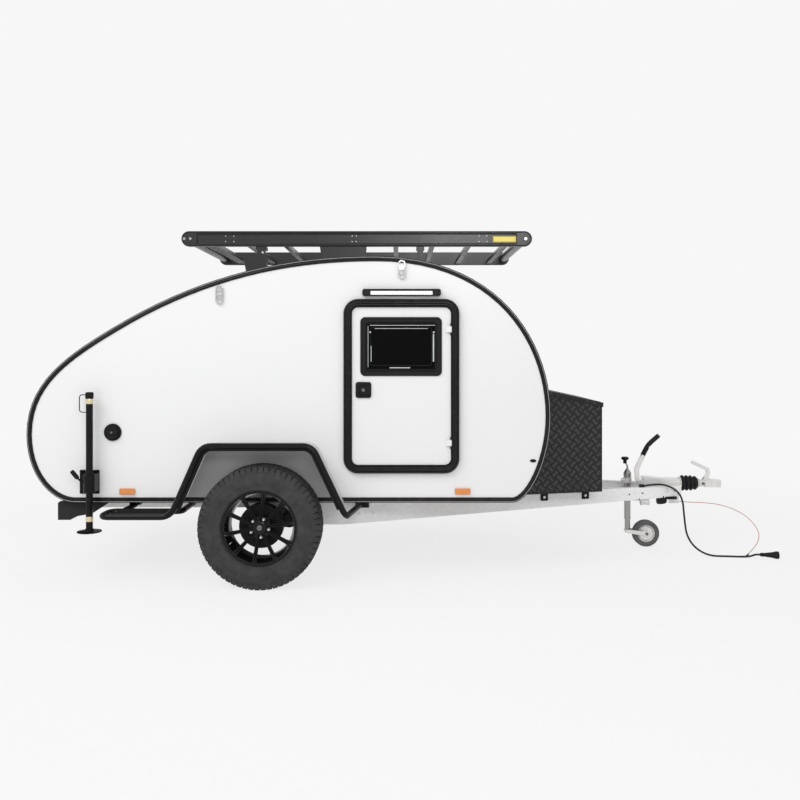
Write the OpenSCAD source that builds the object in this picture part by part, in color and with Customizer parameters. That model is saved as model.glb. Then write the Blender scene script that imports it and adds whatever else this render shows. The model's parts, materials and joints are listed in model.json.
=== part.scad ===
// Teardrop trailer: a plywood-and-skin body on a galvanised A-frame with one axle.
// Millimetres. +X points to the coupling, +Y to the left side, +Z up. The origin is on the
// ground, under the middle of the length.

/* [Body] */
// Length of the body from tail to nose
body_l = 2993; // [2600:1:3600]
// Width over the outer faces of the side walls
body_w = 1580; // [1350:1:1900]
// Height of the body from its underside to its crown
body_h = 1408; // [1200:1:1700]
// Height of the body's underside above the ground
ride_h = 448; // [430:1:560]
// Distance from the nose to the tip of the coupling
nose_to_tip = 1271; // [1200:1:1700]
// Distance from the tail to the axle
tail_to_axle = 1359; // [1150:1:1650]
// Height of the rearmost point of the tail above the underside
tail_rise = 390; // [300:1:480]
// Height of the foremost point of the nose above the underside
nose_rise = 494; // [400:1:580]
// Distance of the crown behind the nose
crown_setback = 1000; // [850:1:1200]
// Thickness of the side walls
wall_t = 40; // [25:1:55]
// Thickness of the roof and the hatch
roof_t = 35; // [20:1:50]
// Thickness of the floor
floor_t = 45; // [25:1:60]
// Width of the black edge trim on the side faces
trim_w = 30; // [18:1:45]
// Thickness of the edge trim
trim_t = 5; // [3:1:8]

/* [Doors] */
// Width over the door frame
door_frame_w = 661; // [560:1:760]
// Height over the door frame
door_frame_h = 995; // [800:1:1150]
// Height of the door frame above the underside of the body
door_sill = 168; // [120:1:260]
// Distance of the middle of the door ahead of the axle
door_ahead = 781; // [700:1:900]
// Width of the door frame's band
door_band = 42; // [30:1:60]
// Width of the frame's lip on the skin round the opening in the wall
frame_lip = 20; // [12:1:26]
// Outer corner radius of the door frame
door_corner = 84; // [60:1:120]
// Thickness of the door leaf
door_t = 36; // [25:1:45]
// Width over the window's frame
window_w = 465; // [360:1:500]
// Height over the window's frame
window_h = 336; // [240:1:400]
// Width of the window frame's band
window_band = 32; // [20:1:45]
// Depth of the window's top below the top of the door opening
window_drop = 62; // [45:1:120]

/* [Hatch] */
// Distance of the hatch's hinge ahead of the tail
hatch_setback = 800; // [650:1:950]
// Height of the hatch's lower edge above the underside
hatch_sill = 140; // [90:1:200]

/* [Wheels] */
// Outer diameter of the tyres
tyre_d = 680; // [640:1:760]
// Width of the tyres
tyre_w = 205; // [185:1:235]
// Bead seat diameter of the rims
rim_d = 381; // [330.2:0.1:406.4]
// Gap between each tyre and the side wall
tyre_gap = 12; // [10:1:40]
// Number of spokes on each rim
spokes = 10; // [6:1:14]
// Diameter of the brake drums
drum_d = 245; // [200:1:270]

/* [Fenders] */
// Diameter of the fender tube
fender_tube_d = 34; // [25:1:42]
// Length of the level run of the fender over the wheel
fender_top_l = 604; // [480:1:760]
// Height of the fender tube's level run above the tyre
fender_rise = 114; // [80:1:160]
// How far each leg of the fender spreads past the level run
fender_spread = 185; // [120:1:260]
// Length of the step behind the wheel
step_l = 384; // [250:1:450]
// Height of the step and the lower bends above the ground
step_z = 406; // [360:1:430]

/* [Chassis] */
// Half the width over the drawbar at its front end
drawbar_tip_w = 75; // [65:1:95]
// Half the width over the drawbar where its members turn parallel
drawbar_rear_w = 620; // [540:1:690]
// Depth of the drawbar members at the front
drawbar_tip_h = 68; // [55:1:85]
// Depth of the drawbar members at the rear
drawbar_rear_h = 142; // [110:1:170]
// Thickness of the chassis steel
steel_t = 5; // [3:1:8]
// Width of the members' flanges
flange_w = 40; // [30:1:55]
// Distance of the axle beam ahead of the axle
arm_l = 140; // [110:1:180]

/* [Front box] */
// Length of the box's floor line from its front wall to the nose
box_l = 387; // [300:1:480]
// Half-width of the box at its front wall
box_front_w = 400; // [320:1:480]
// Half-width of the box at the nose
box_rear_w = 500; // [400:1:560]
// Height of the box's front wall
box_front_h = 540; // [420:1:620]
// Height of the box at the rear of its lid
box_rear_h = 622; // [500:1:700]
// Thickness of the box's sheet
box_t = 4; // [2:1:6]
// Gap between the box and the nose
box_gap = 12; // [8:1:30]

/* [Roof rack] */
// Length of the rack's side rails
rack_l = 2103; // [1700:1:2300]
// Width over the rack
rack_w = 1104; // [900:1:1300]
// Height of the side rails
rail_h = 92; // [70:1:110]
// Height of the underside of the rails above the roof's crown
rack_lift = 85; // [60:1:130]
// Distance of the rack's rear end ahead of the tail
rack_setback = 821; // [700:1:950]
// Number of cross slats
slats = 9; // [6:1:12]

/* [Stands and jockey wheel] */
// Diameter of the stand tubes
stand_d = 38; // [30:1:48]
// Height of the stands' feet above the ground
stand_foot_z = 296; // [250:1:340]
// Length of the stand tubes
stand_l = 785; // [600:1:900]
// Distance of the stands ahead of the tail
stand_setback = 384; // [340:1:500]
// Diameter of the jockey wheel
jockey_d = 176; // [150:1:220]
// Outer diameter of the jockey's clamped tube
jockey_tube_d = 42; // [38:1:60]

/* [Coupling] */
// Diameter of the towing ball
ball_d = 50; // [48:1:60]
// Height of the coupling's underside above the ground
coupling_z = 414; // [380:1:460]
// Length of the coupling head
head_l = 149; // [120:1:180]
// Length of the bellows
bellows_l = 123; // [90:1:150]

/* [Hidden] */
$fn = 48;

// Clearances
slip = 0.3;
swing_gap = 6;

// Main lines
overall_l = body_l + nose_to_tip;
tail_x = -overall_l / 2;
nose_x = tail_x + body_l;
tip_x = overall_l / 2;
axle_x = tail_x + tail_to_axle;
axle_z = tyre_d / 2;
half_w = body_w / 2;
inner_w = half_w - wall_t;
crown_z = ride_h + body_h;
crown_x = nose_x - crown_setback;
floor_low = ride_h + trim_t;
floor_top = floor_low + floor_t;

// Body outline: cubic curves that meet with a common tangent
tail_z = ride_h + tail_rise;
nose_z = ride_h + nose_rise;
tail_foot_x = tail_x + 277;
nose_foot_x = nose_x - 219;
slope_x = tail_x + 498;
slope_z = crown_z - 406;
slope_angle = 31;
slope_dir = [cos(slope_angle), sin(slope_angle)];
slope_pt = [slope_x, slope_z];
crown_pt = [crown_x, crown_z];
NOSE_CURVE = [[nose_foot_x, ride_h], [nose_foot_x + 98, ride_h], [nose_x, nose_z - 256], [nose_x, nose_z]];
FRONT_CURVE = [[nose_x, nose_z], [nose_x, nose_z + 431], [crown_x + 704, crown_z], crown_pt];
BACK_CURVE = [crown_pt, [crown_x - 506, crown_z], slope_pt + 595 * slope_dir, slope_pt];
TAIL_CURVE = [slope_pt, slope_pt - 309 * slope_dir, [tail_x, tail_z + 299], [tail_x, tail_z]];
HEEL_CURVE = [[tail_x, tail_z], [tail_x, tail_z - 248], [tail_foot_x - 123, ride_h], [tail_foot_x, ride_h]];

function bezier(p, t) =
    pow(1 - t, 3) * p[0] + 3 * t * pow(1 - t, 2) * p[1] + 3 * t * t * (1 - t) * p[2] + pow(t, 3) * p[3];
function bezier_dir(p, t) =
    let (d = pow(1 - t, 2) * (p[1] - p[0]) + 2 * t * (1 - t) * (p[2] - p[1]) + t * t * (p[3] - p[2]))
    d / norm(d);
// Points along one curve, moved inwards by inset
function curve_points(p, steps, inset) = [
    for (i = [0 : steps - 1])
        let (t = i / steps, d = bezier_dir(p, t))
        bezier(p, t) + inset * [-d[1], d[0]]
];
// The whole outline of the body, moved inwards by inset, from the foot of the nose round to the tail
function outline(inset) = concat(
    curve_points(NOSE_CURVE, 14, inset),
    curve_points(FRONT_CURVE, 22, inset),
    curve_points(BACK_CURVE, 18, inset),
    curve_points(TAIL_CURVE, 14, inset),
    curve_points(HEEL_CURVE, 14, inset),
    [[tail_foot_x, ride_h + inset]]
);
// The x of a rising curve at a height; above the curve's end it is the front curve's
function outline_x(p, z, low = 0, high = 1, steps = 20) =
    z > nose_z && p[0][1] < nose_z ? outline_x(FRONT_CURVE, z)
    : steps == 0 ? bezier(p, (low + high) / 2)[0]
    : bezier(p, (low + high) / 2)[1] < z ? outline_x(p, z, (low + high) / 2, high, steps - 1)
    : outline_x(p, z, low, (low + high) / 2, steps - 1);
// Place on the back curve whose x is wanted, found by halving
function back_t(x, low = 0, high = 1, steps = 20) =
    steps == 0 ? (low + high) / 2
    : bezier(BACK_CURVE, (low + high) / 2)[0] > x ? back_t(x, (low + high) / 2, high, steps - 1)
    : back_t(x, low, (low + high) / 2, steps - 1);

// Hatch hinge line
hatch_t = back_t(tail_x + hatch_setback);
hatch_pt = bezier(BACK_CURVE, hatch_t);
hatch_dir = bezier_dir(BACK_CURVE, hatch_t);
hatch_angle = atan2(-hatch_dir[1], -hatch_dir[0]);
hatch_sill_z = ride_h + hatch_sill;
hinge_r = 8;
hinge_pin_r = 4;
hinge_lift = 9;
hatch_hinge = hatch_pt + (hinge_lift - trim_t) * [-sin(hatch_angle), cos(hatch_angle)];

// Door
door_x = axle_x + door_ahead;
door_z = ride_h + door_sill + door_frame_h / 2;
door_hole_w = door_frame_w - 2 * door_band;
door_hole_h = door_frame_h - 2 * door_band;
door_hole_r = door_corner - door_band;
door_leaf_w = door_hole_w - 2 * swing_gap;
door_leaf_h = door_hole_h - 2 * swing_gap;
door_proud = 10;
door_face_y = half_w + door_proud;
hinge_x = door_x + door_leaf_w / 2 + swing_gap / 2;
hinge_y = door_face_y + hinge_lift;
hinge_l = 34;
window_x = door_x - 2;
window_z = door_z + door_hole_h / 2 - window_drop - window_h / 2;
window_r = 28;
window_proud = 8;
glass_t = 5;

// Wheels
wheel_y = half_w + tyre_gap + tyre_w / 2;
rim_half_w = tyre_w / 2 - 18;
lip_h = 17;
bead_r = rim_d / 2;
spindle_r = 17;
drum_in = -55;
drum_out = 27;
arm_t = 28;
arm_y0 = inner_w + 5;
beam_h = 80;

// Fender path, seen from the left side
fender_y = half_w + 210;
step_in_y = half_w + 42;
tube_r = fender_tube_d / 2;
fender_z = tyre_d + fender_rise;
fender_mid_x = axle_x - 10;
bend_r = 78;

// Chassis. Its fittings and the rack's are set out from frame_x
frame_x = axle_x - 8;
rail_top = ride_h - 18;
rail_low = rail_top - 48;
turn_x = frame_x + 450;
drawbar_end_x = tip_x - 286;
drawbar_run = drawbar_end_x - turn_x;
drawbar_angle = atan2(drawbar_rear_w - drawbar_tip_w, drawbar_run);
drawbar_mid_x = drawbar_end_x - 1006;
drawbar_mid_h = drawbar_tip_h + 34;
straight_l = 230;
rear_rail_w = 40;
bearer_w = 60;
bearer_y = half_w - 65;
bumper_x = tail_x + 164;
lamp_t = 6;
bumper_l = 72;
beam_x = axle_x + arm_l;

// Front box
box_bottom = ride_h - 2;
box_front_x = nose_x + box_l;
box_rear_x = box_front_x - 429;
lid_t = 3;
lid_lip = 28;
lid_overhang = 7;
box_flare = (box_rear_w - box_front_w) / (box_front_x - box_rear_x);
box_top_z = box_bottom + box_rear_h;
lid_rear_x = outline_x(NOSE_CURVE, box_top_z) + box_gap;
box_hinge_r = 6;

// Rack
rack_x0 = tail_x + rack_setback;
rack_x1 = rack_x0 + rack_l;
rail_z0 = crown_z + rack_lift;
rail_mid_z = rail_z0 + rail_h / 2;
rack_half_w = rack_w / 2;
rail_t = 30;
rack_inner_w = rack_half_w - rail_t;
rack_mid_x = (rack_x0 + rack_x1) / 2;
slat_z = rail_z0 + 8;
slat_h = 24;
slat_first = rack_x0 + 175;
slat_pitch = 222;

// Stands and jockey wheel
stand_x = tail_x + stand_setback;
stand_y = half_w + 70;
stand_r = stand_d / 2;
clamp_x0 = stand_x - 79;
clamp_z0 = ride_h + 52;
clamp_h = 135;
clamp_w = 112;
jockey_x = tip_x - 599;
jockey_y = 80;
jockey_r = jockey_d / 2;
jockey_tube_r = jockey_tube_d / 2;
jockey_leg_r = jockey_tube_r - 3 - slip;
jockey_wheel_x = jockey_x + 122;
jockey_leg_low = 116;
jockey_leg_l = 145;
jockey_tube_low = jockey_leg_low + 68;
jockey_tube_top = rail_top + 66;

// Coupling
ball_r = ball_d / 2;
head_x = tip_x - head_l;
bellows_x = head_x - bellows_l;
housing_x0 = bellows_x - 248;
draw_z = coupling_z + 24;
lever_x = bellows_x - 273;
lever_y = -56;
catch_x = head_x + 52;
catch_z = coupling_z + 62;
lever_z = coupling_z + 4;
catch_pin_r = 4;
catch_bar_w = 22;
lever_pin_r = 6;
lever_bar_w = 30;
lever_grip_d = 29;

// Cords: route points from the exit to the far end
power_d = 12;
power_route = [
    [1590, -130, 439], [1630, -130, 445], [1675, -129, 448], [1720, -128, 443], [1765, -127, 427],
    [1800, -126, 402], [1825, -125, 369], [1838, -126, 327], [1842, -129, 283], [1845, -136, 234],
    [1847, -146, 187], [1851, -158, 142], [1863, -172, 103], [1884, -188, 68], [1914, -204, 40],
    [1952, -218, 20], [1996, -227, 9], [2045, -232, 7], [2105, -239, 7], [2160, -246, 7],
    [2205, -252, 9], [2228, -256, 14], [2246, -259.5, 21], [2262, -262.5, 24.5], [2280, -265, 24.5]
];
plug_l = 112;
plug_r = 24;
plug_from = [2280.2, -265, 24.5];
breakaway_d = 4;
breakaway_z = 314;
breakaway_route = [
    [1852.3, 0, breakaway_z], [1890, -4, 313], [1934, -10, 311], [1990, -20, 311], [2045, -30, 308],
    [2090, -45, 304], [2126, -60, 297], [2162, -75, 287], [2197, -92, 272], [2232, -110, 253],
    [2259, -125, 232], [2281, -140, 207], [2300, -155, 177], [2310, -170, 147], [2309, -182, 125],
    [2299, -196, 100], [2282, -207, 77], [2260, -218, 56], [2236, -228, 36], [2218, -233, 18],
    [2205, -236, 8]
];
clip_l = 30;
clip_gap = 1.8;

// ---------- Helpers ----------

// Extrudes an outline drawn in x and z between two values of y
module along_y(y0, y1) {
    translate([0, y1, 0]) rotate([90, 0, 0]) linear_extrude(y1 - y0) children();
}

// Puts a piece drawn for the left side on the side that is asked for
module on_side(side) {
    if (side == "right")
        mirror([0, 1, 0]) children();
    else
        children();
}

module both_sides() {
    for (side = ["right", "left"])
        on_side(side) children();
}

module box(low, high) {
    translate(low) cube(high - low);
}

module rounded_rect(w, h, r) {
    square([w - 2 * r, h], center = true);
    square([w, h - 2 * r], center = true);
    for (x = [-1, 1], y = [-1, 1])
        translate([x * (w / 2 - r), y * (h / 2 - r)]) circle(r = r);
}

module stadium(l, h) {
    square([l - h, h], center = true);
    for (x = [-1, 1])
        translate([x * (l - h) / 2, 0]) circle(d = h);
}

// A round bar between two points
module rod(a, b, r) {
    d = b - a;
    l = norm(d);
    translate(a)
        rotate([0, acos(d[2] / l), atan2(d[1], d[0])]) cylinder(r = r, h = l);
}

function unit(v) = v / norm(v);
// How far before a corner the bend of radius r begins
function bend_cut(a, b, c, r) =
    let (turn = acos(unit(b - a) * unit(c - b))) r * tan(turn / 2);
// Points round the bend at corner b
function bend_points(a, b, c, r, steps) =
    let (
        d0 = unit(b - a), d1 = unit(c - b), turn = acos(d0 * d1),
        start = b - bend_cut(a, b, c, r) * d0,
        side = unit(d1 - (d1 * d0) * d0)
    )
    [
        for (i = [0 : steps])
            let (a = turn * i / steps)
            start + r * side + r * (sin(a) * d0 - cos(a) * side)
    ];
// Straight runs joined by round bends; the first and last bends are not used
function bent_path(pts, bends, steps) = [
    pts[0],
    for (i = [1 : len(pts) - 2]) each bend_points(pts[i - 1], pts[i], pts[i + 1], bends[i], steps),
    pts[len(pts) - 1]
];

function reversed(p) = [for (i = [len(p) - 1 : -1 : 0]) p[i]];

// Catmull-Rom point between b and c
function spline(a, b, c, d, t) =
    0.5 * (2 * b + (c - a) * t + (2 * a - 5 * b + 4 * c - d) * t * t + (3 * b - a - 3 * c + d) * pow(t, 3));
function spline_path(p, steps) = [
    for (i = [0 : len(p) - 2], k = [0 : steps - 1])
        spline(p[max(i - 1, 0)], p[i], p[i + 1], p[min(i + 2, len(p) - 1)], k / steps),
    p[len(p) - 1]
];

// Directions across the path, each carried over from the one before
function across(t, i, u) =
    i == len(t) ? [] : let (v = unit(u - (u * t[i]) * t[i])) concat([v], across(t, i + 1, v));
// A round bar swept along a path as one closed solid
module swept(path, d, sides) {
    n = len(path);
    dirs = [for (i = [0 : n - 1]) unit(path[min(i + 1, n - 1)] - path[max(i - 1, 0)])];
    first = abs(dirs[0][1]) < 0.9 ? cross([0, 1, 0], dirs[0]) : cross([0, 0, 1], dirs[0]);
    us = across(dirs, 0, first);
    points = [
        for (i = [0 : n - 1], k = [0 : sides - 1])
            path[i] + d / 2 * (cos(360 * k / sides) * us[i] + sin(360 * k / sides) * cross(dirs[i], us[i]))
    ];
    walls = [
        for (i = [0 : n - 2], k = [0 : sides - 1])
            let (a = i * sides + k, b = i * sides + (k + 1) % sides)
            [a, a + sides, b + sides, b]
    ];
    ends = [
        [for (k = [0 : sides - 1]) k],
        [for (k = [sides - 1 : -1 : 0]) (n - 1) * sides + k]
    ];
    polyhedron(points = points, faces = concat(walls, ends));
}

module body_profile(inset) {
    polygon(outline(inset));
}

// The band between two insets of the outline
module shell_band() {
    difference() {
        body_profile(trim_t);
        body_profile(trim_t + roof_t);
    }
}

// Everything behind the hatch's hinge line
module behind_hinge(gap) {
    translate(hatch_pt) rotate(hatch_angle) translate([-4000 - gap, -3000]) square([4000, 4000]);
}

// ---------- Body ----------

// Shape of the opening in the wall, which the door frame fills
module frame_seat() {
    rounded_rect(door_frame_w - 2 * frame_lip, door_frame_h - 2 * frame_lip, door_corner - frame_lip);
}

module side_wall(side) {
    color("white") on_side(side) along_y(inner_w, half_w) difference() {
        body_profile(trim_t);
        translate([door_x, door_z]) frame_seat();
    }
}
module side_wall_right() { side_wall("right"); }
module side_wall_left() { side_wall("left"); }

module edge_trims() {
    color("#16171a") both_sides() {
        along_y(inner_w, half_w) difference() {
            body_profile(0);
            body_profile(trim_t);
        }
        along_y(half_w, half_w + trim_t) difference() {
            body_profile(0);
            body_profile(trim_w);
        }
    }
}

module roof_shell() {
    color("white") {
        along_y(-inner_w, inner_w) difference() {
            shell_band();
            translate([tail_x - 1, 0]) square([overall_l, floor_top]);
            behind_hinge(-swing_gap / 2);
            translate([tail_x - 1, 0]) square([body_l / 3, tail_z]);
        }
        hatch_hinge_lugs();
        along_y(-inner_w, inner_w) intersection() {
            shell_band();
            translate([tail_x, floor_top]) square([body_l / 3, hatch_sill_z - floor_top]);
        }
    }
}

// Lugs and pins on the roof that carry the hatch
module hatch_hinge_lugs() {
    for (y = [-0.72, 0, 0.72]) translate([0, y * inner_w, 0]) {
        along_y(-hinge_l - 9, -hinge_l / 2 - 1) hatch_lug();
        along_y(hinge_l / 2 + 1, hinge_l + 9) hatch_lug();
        along_y(-hinge_l - 9, hinge_l + 9) translate(hatch_hinge) circle(r = hinge_pin_r);
    }
}
module hatch_lug() {
    translate(hatch_hinge) circle(r = hinge_r);
    translate(hatch_pt) rotate(hatch_angle)
        translate([swing_gap, -trim_t - 8]) square([34, hinge_lift + 8]);
    translate(hatch_pt) rotate(hatch_angle)
        translate([0, hinge_lift - trim_t - 3]) square([34, 6]);
}

module cabin_floor() {
    color("#8c8f92") along_y(-inner_w, inner_w) intersection() {
        body_profile(trim_t);
        translate([tail_x, ride_h]) square([body_l, floor_top - ride_h]);
    }
}

bulkhead_x = hatch_pt[0] + 40;
bulkhead_t = 20;
module galley_bulkhead() {
    color("#d8d2c4") along_y(-inner_w, inner_w) intersection() {
        body_profile(trim_t + roof_t);
        translate([bulkhead_x, floor_top]) square([bulkhead_t, body_h]);
    }
}

cabinet_l = 500;
cabinet_h = 520;
board_t = 18;
module galley_cabinet() {
    x0 = bulkhead_x - cabinet_l;
    color("#c9b48c") {
        difference() {
            box([x0, -inner_w, floor_top], [bulkhead_x, inner_w, floor_top + cabinet_h]);
            for (i = [0 : 2], k = [0 : 1]) {
                bay = (2 * inner_w - 4 * board_t) / 3;
                y0 = -inner_w + board_t + i * (bay + board_t);
                shelf = (cabinet_h - 3 * board_t) / 2;
                z0 = floor_top + board_t + k * (shelf + board_t);
                box([x0 - 1, y0, z0], [bulkhead_x - board_t, y0 + bay, z0 + shelf]);
            }
        }
    }
}

module door_frames() {
    color("#16171a") both_sides() {
        along_y(half_w, door_face_y) translate([door_x, door_z]) difference() {
            rounded_rect(door_frame_w, door_frame_h, door_corner);
            rounded_rect(door_hole_w, door_hole_h, door_hole_r);
        }
        along_y(inner_w, half_w) translate([door_x, door_z]) difference() {
            frame_seat();
            rounded_rect(door_hole_w, door_hole_h, door_hole_r);
        }
        for (z = [-1, 1]) translate([0, 0, door_z + z * door_leaf_h * 0.36]) door_hinge_lugs();
    }
}

// Two lugs and the pin between them, fixed on the door frame
module door_hinge_lugs() {
    translate([hinge_x, hinge_y, -hinge_l]) cylinder(r = hinge_pin_r, h = 2 * hinge_l);
    for (z = [-hinge_l, hinge_l / 2 + 1]) translate([0, 0, z]) {
        translate([hinge_x, hinge_y, 0]) cylinder(r = hinge_r, h = hinge_l / 2 - 1);
        box(
            [hinge_x + swing_gap, door_face_y, 0],
            [hinge_x + 24, hinge_y + hinge_r - 2, hinge_l / 2 - 1]
        );
        box([hinge_x, hinge_y - 2, 0], [hinge_x + 24, hinge_y + hinge_r - 2, hinge_l / 2 - 1]);
    }
}

module door(side) {
    color("white") on_side(side) {
        along_y(door_face_y - 4 - door_t, door_face_y - 4) difference() {
            translate([door_x, door_z]) rounded_rect(door_leaf_w, door_leaf_h, door_hole_r - swing_gap);
            translate([window_x, window_z]) pane_shape();
        }
        for (z = [-1, 1]) translate([0, 0, door_z + z * door_leaf_h * 0.36]) door_hinge_eye();
    }
}
module door_right() { door("right"); }
module door_left() { door("left"); }

// The eye on the door that turns on the frame's pin
module door_hinge_eye() {
    difference() {
        union() {
            translate([hinge_x, hinge_y, -hinge_l / 2]) cylinder(r = hinge_r, h = hinge_l);
            box(
                [hinge_x - 34, hinge_y - 3, -hinge_l / 2],
                [hinge_x, hinge_y + 3, hinge_l / 2]
            );
            box(
                [hinge_x - 34, door_face_y - 4, -hinge_l / 2],
                [hinge_x - 14, hinge_y, hinge_l / 2]
            );
        }
        translate([hinge_x, hinge_y, -hinge_l]) cylinder(r = hinge_pin_r + slip, h = 2 * hinge_l);
    }
}

// The pane and the hole that it fills, which reach under the window's frame
module pane_shape() {
    rounded_rect(window_w - 2 * window_band + 16, window_h - 2 * window_band + 16, window_r - 8);
}

module window_frame(side) {
    color("#101113") on_side(side) translate([window_x, 0, window_z]) difference() {
        along_y(door_face_y - 4, door_face_y - 4 + window_proud) rounded_rect(window_w, window_h, window_r);
        along_y(door_face_y - 5, door_face_y + window_proud)
            rounded_rect(window_w - 2 * window_band, window_h - 2 * window_band, window_r / 2);
    }
}
module window_frame_right() { window_frame("right"); }
module window_frame_left() { window_frame("left"); }

module window_glass(side) {
    color([0.06, 0.06, 0.07, 0.8]) on_side(side) translate([window_x, 0, window_z])
        along_y(door_face_y - 4 - glass_t, door_face_y - 4) pane_shape();
}
module window_glass_right() { window_glass("right"); }
module window_glass_left() { window_glass("left"); }

lock_x = door_x - door_leaf_w / 2 + 66;
lock_z = door_z - 22;
module door_lock(side) {
    color("#101113") on_side(side) translate([lock_x, 0, lock_z]) {
        along_y(door_face_y - 4, door_face_y + 4) rounded_rect(89, 91, 14);
        along_y(door_face_y + 4, door_face_y + 16) translate([8, 0]) rounded_rect(58, 52, 12);
        along_y(door_face_y + 4, door_face_y + 12) translate([-30, 0]) circle(r = 9);
    }
}
module door_lock_right() { door_lock("right"); }
module door_lock_left() { door_lock("left"); }

module rear_hatch() {
    color("white") {
        along_y(-inner_w + swing_gap, inner_w - swing_gap) intersection() {
            shell_band();
            behind_hinge(swing_gap / 2);
            translate([tail_x, hatch_sill_z + swing_gap]) square([body_l, body_h]);
        }
        for (y = [-0.72, 0, 0.72]) translate([0, y * inner_w, 0]) difference() {
            along_y(-hinge_l / 2, hinge_l / 2) {
                translate(hatch_hinge) circle(r = hinge_r);
                translate(hatch_pt) rotate(hatch_angle) {
                    translate([-34, hinge_lift - trim_t - 3]) square([34, 6]);
                    translate([-34, -trim_t - 8]) square([20, hinge_lift + 8]);
                }
            }
            along_y(-hinge_l, hinge_l) translate(hatch_hinge) circle(r = hinge_pin_r + slip);
        }
    }
}

module awning_lights() {
    light_x = door_x + 1;
    light_z = door_z + door_frame_h / 2 + 36;
    color("#16171a") both_sides() translate([light_x, 0, light_z]) {
        along_y(half_w, half_w + 32) rounded_rect(447, 40, 12);
    }
}

module marker_lamps() {
    color("orange") both_sides()
        for (x = [tail_x + 576, nose_x - 504])
            along_y(half_w, half_w + 14) translate([x, ride_h + 65]) rounded_rect(88, 35, 6);
}

module tie_loops() {
    loop_w = 42;
    loop_h = 108;
    color("silver") both_sides()
        for (p = [[frame_x - 249, crown_z - 222], [frame_x + 791, crown_z - 78]]) translate([p[0], 0, p[1]]) {
            along_y(half_w, half_w + 7) rounded_rect(34, 60, 8);
            along_y(half_w + 7, half_w + 15) difference() {
                rotate(90) stadium(loop_h, loop_w);
                rotate(90) stadium(loop_h - 16, loop_w - 16);
            }
            along_y(half_w + 7, half_w + 13) square([loop_w - 12, 12], center = true);
        }
}

module filler_cap() {
    color("#16171a") translate([tail_x + 493, 0, ride_h + 402]) mirror([0, 1, 0]) {
        along_y(half_w, half_w + 8) circle(r = 49.5);
        along_y(half_w + 8, half_w + 20) circle(r = 38);
        along_y(half_w + 20, half_w + 30) rounded_rect(62, 16, 5);
    }
}

// ---------- Chassis ----------

// Outer face of the left drawbar member at a place ahead of its bend
function drawbar_y(x) = drawbar_tip_w + (drawbar_end_x - x) * tan(drawbar_angle);

// Frame of one drawbar member: x runs back from the front end along the web, y points outwards
module along_drawbar(side) {
    on_side(side) translate([drawbar_end_x, drawbar_tip_w, 0]) rotate([0, 0, 180 - drawbar_angle])
        mirror([0, 1, 0]) children();
}

// Side view of a drawbar member, drawn in x and z, its top and bottom moved in by inset
module drawbar_side(inset, over) {
    polygon([
        [drawbar_end_x + over, rail_top - inset],
        [drawbar_end_x + over, rail_top - drawbar_tip_h + inset],
        [drawbar_mid_x, rail_top - drawbar_mid_h + inset],
        [turn_x, rail_top - drawbar_rear_h + inset],
        [turn_x - straight_l - over, rail_top - drawbar_rear_h + inset],
        [turn_x - straight_l - over, rail_top - inset]
    ]);
}
// Line in plan that keeps a distance w inside the member's outer face
function plan_line(w, over) = [
    [drawbar_end_x + over, drawbar_y(drawbar_end_x + over) - w / cos(drawbar_angle)],
    [turn_x - w * tan(drawbar_angle / 2), drawbar_rear_w - w],
    [turn_x - straight_l - over, drawbar_rear_w - w]
];
module drawbar_part(w0, w1, inset, over) {
    intersection() {
        along_y(0, half_w) drawbar_side(inset, over);
        linear_extrude(crown_z) polygon(concat(plan_line(w0, over), reversed(plan_line(w1, over))));
    }
}
module drawbar(side) {
    color("#b9bdc0") on_side(side) difference() {
        drawbar_part(0, flange_w, 0, 0);
        drawbar_part(steel_t, flange_w + 1, steel_t, 1);
    }
}
module drawbar_right() { drawbar("right"); }
module drawbar_left() { drawbar("left"); }

// A flat bar across the chassis, pressed hollow from below
module bearer(x) {
    difference() {
        box([x, -bearer_y, rail_top], [x + bearer_w, bearer_y, floor_low]);
        box(
            [x + steel_t, -bearer_y - 1, rail_top - 1],
            [x + bearer_w - steel_t, bearer_y + 1, floor_low - steel_t]
        );
    }
}

module rear_frame() {
    rail_y = drawbar_rear_w - flange_w;
    member_y = rail_y - rear_rail_w;
    member_w = 50;
    rear_x = bumper_x + bumper_l;
    rail_end = turn_x - steel_t;
    color("#b9bdc0") {
        both_sides() difference() {
            box([rear_x, member_y, rail_low], [rail_end, rail_y, rail_top]);
            box(
                [rear_x - 1, member_y - 1, rail_low + steel_t],
                [rail_end + 1, rail_y - steel_t, rail_top - steel_t]
            );
        }
        for (x = [rear_x, frame_x - 420, turn_x - 60]) difference() {
            box([x, -member_y, rail_low + 8], [x + member_w, member_y, rail_top]);
            box(
                [x + steel_t, -member_y - 1, rail_low + 7],
                [x + member_w - steel_t, member_y + 1, rail_top - steel_t]
            );
        }
        for (x = [rear_x + 90, frame_x - 330, frame_x + 280, turn_x + 330, nose_foot_x - 60])
            bearer(x);
    }
}

module axle_beam() {
    color("#9a9da0") box(
        [beam_x - beam_h / 2, -arm_y0, rail_low - beam_h],
        [beam_x + beam_h / 2, arm_y0, rail_low]
    );
}

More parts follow.
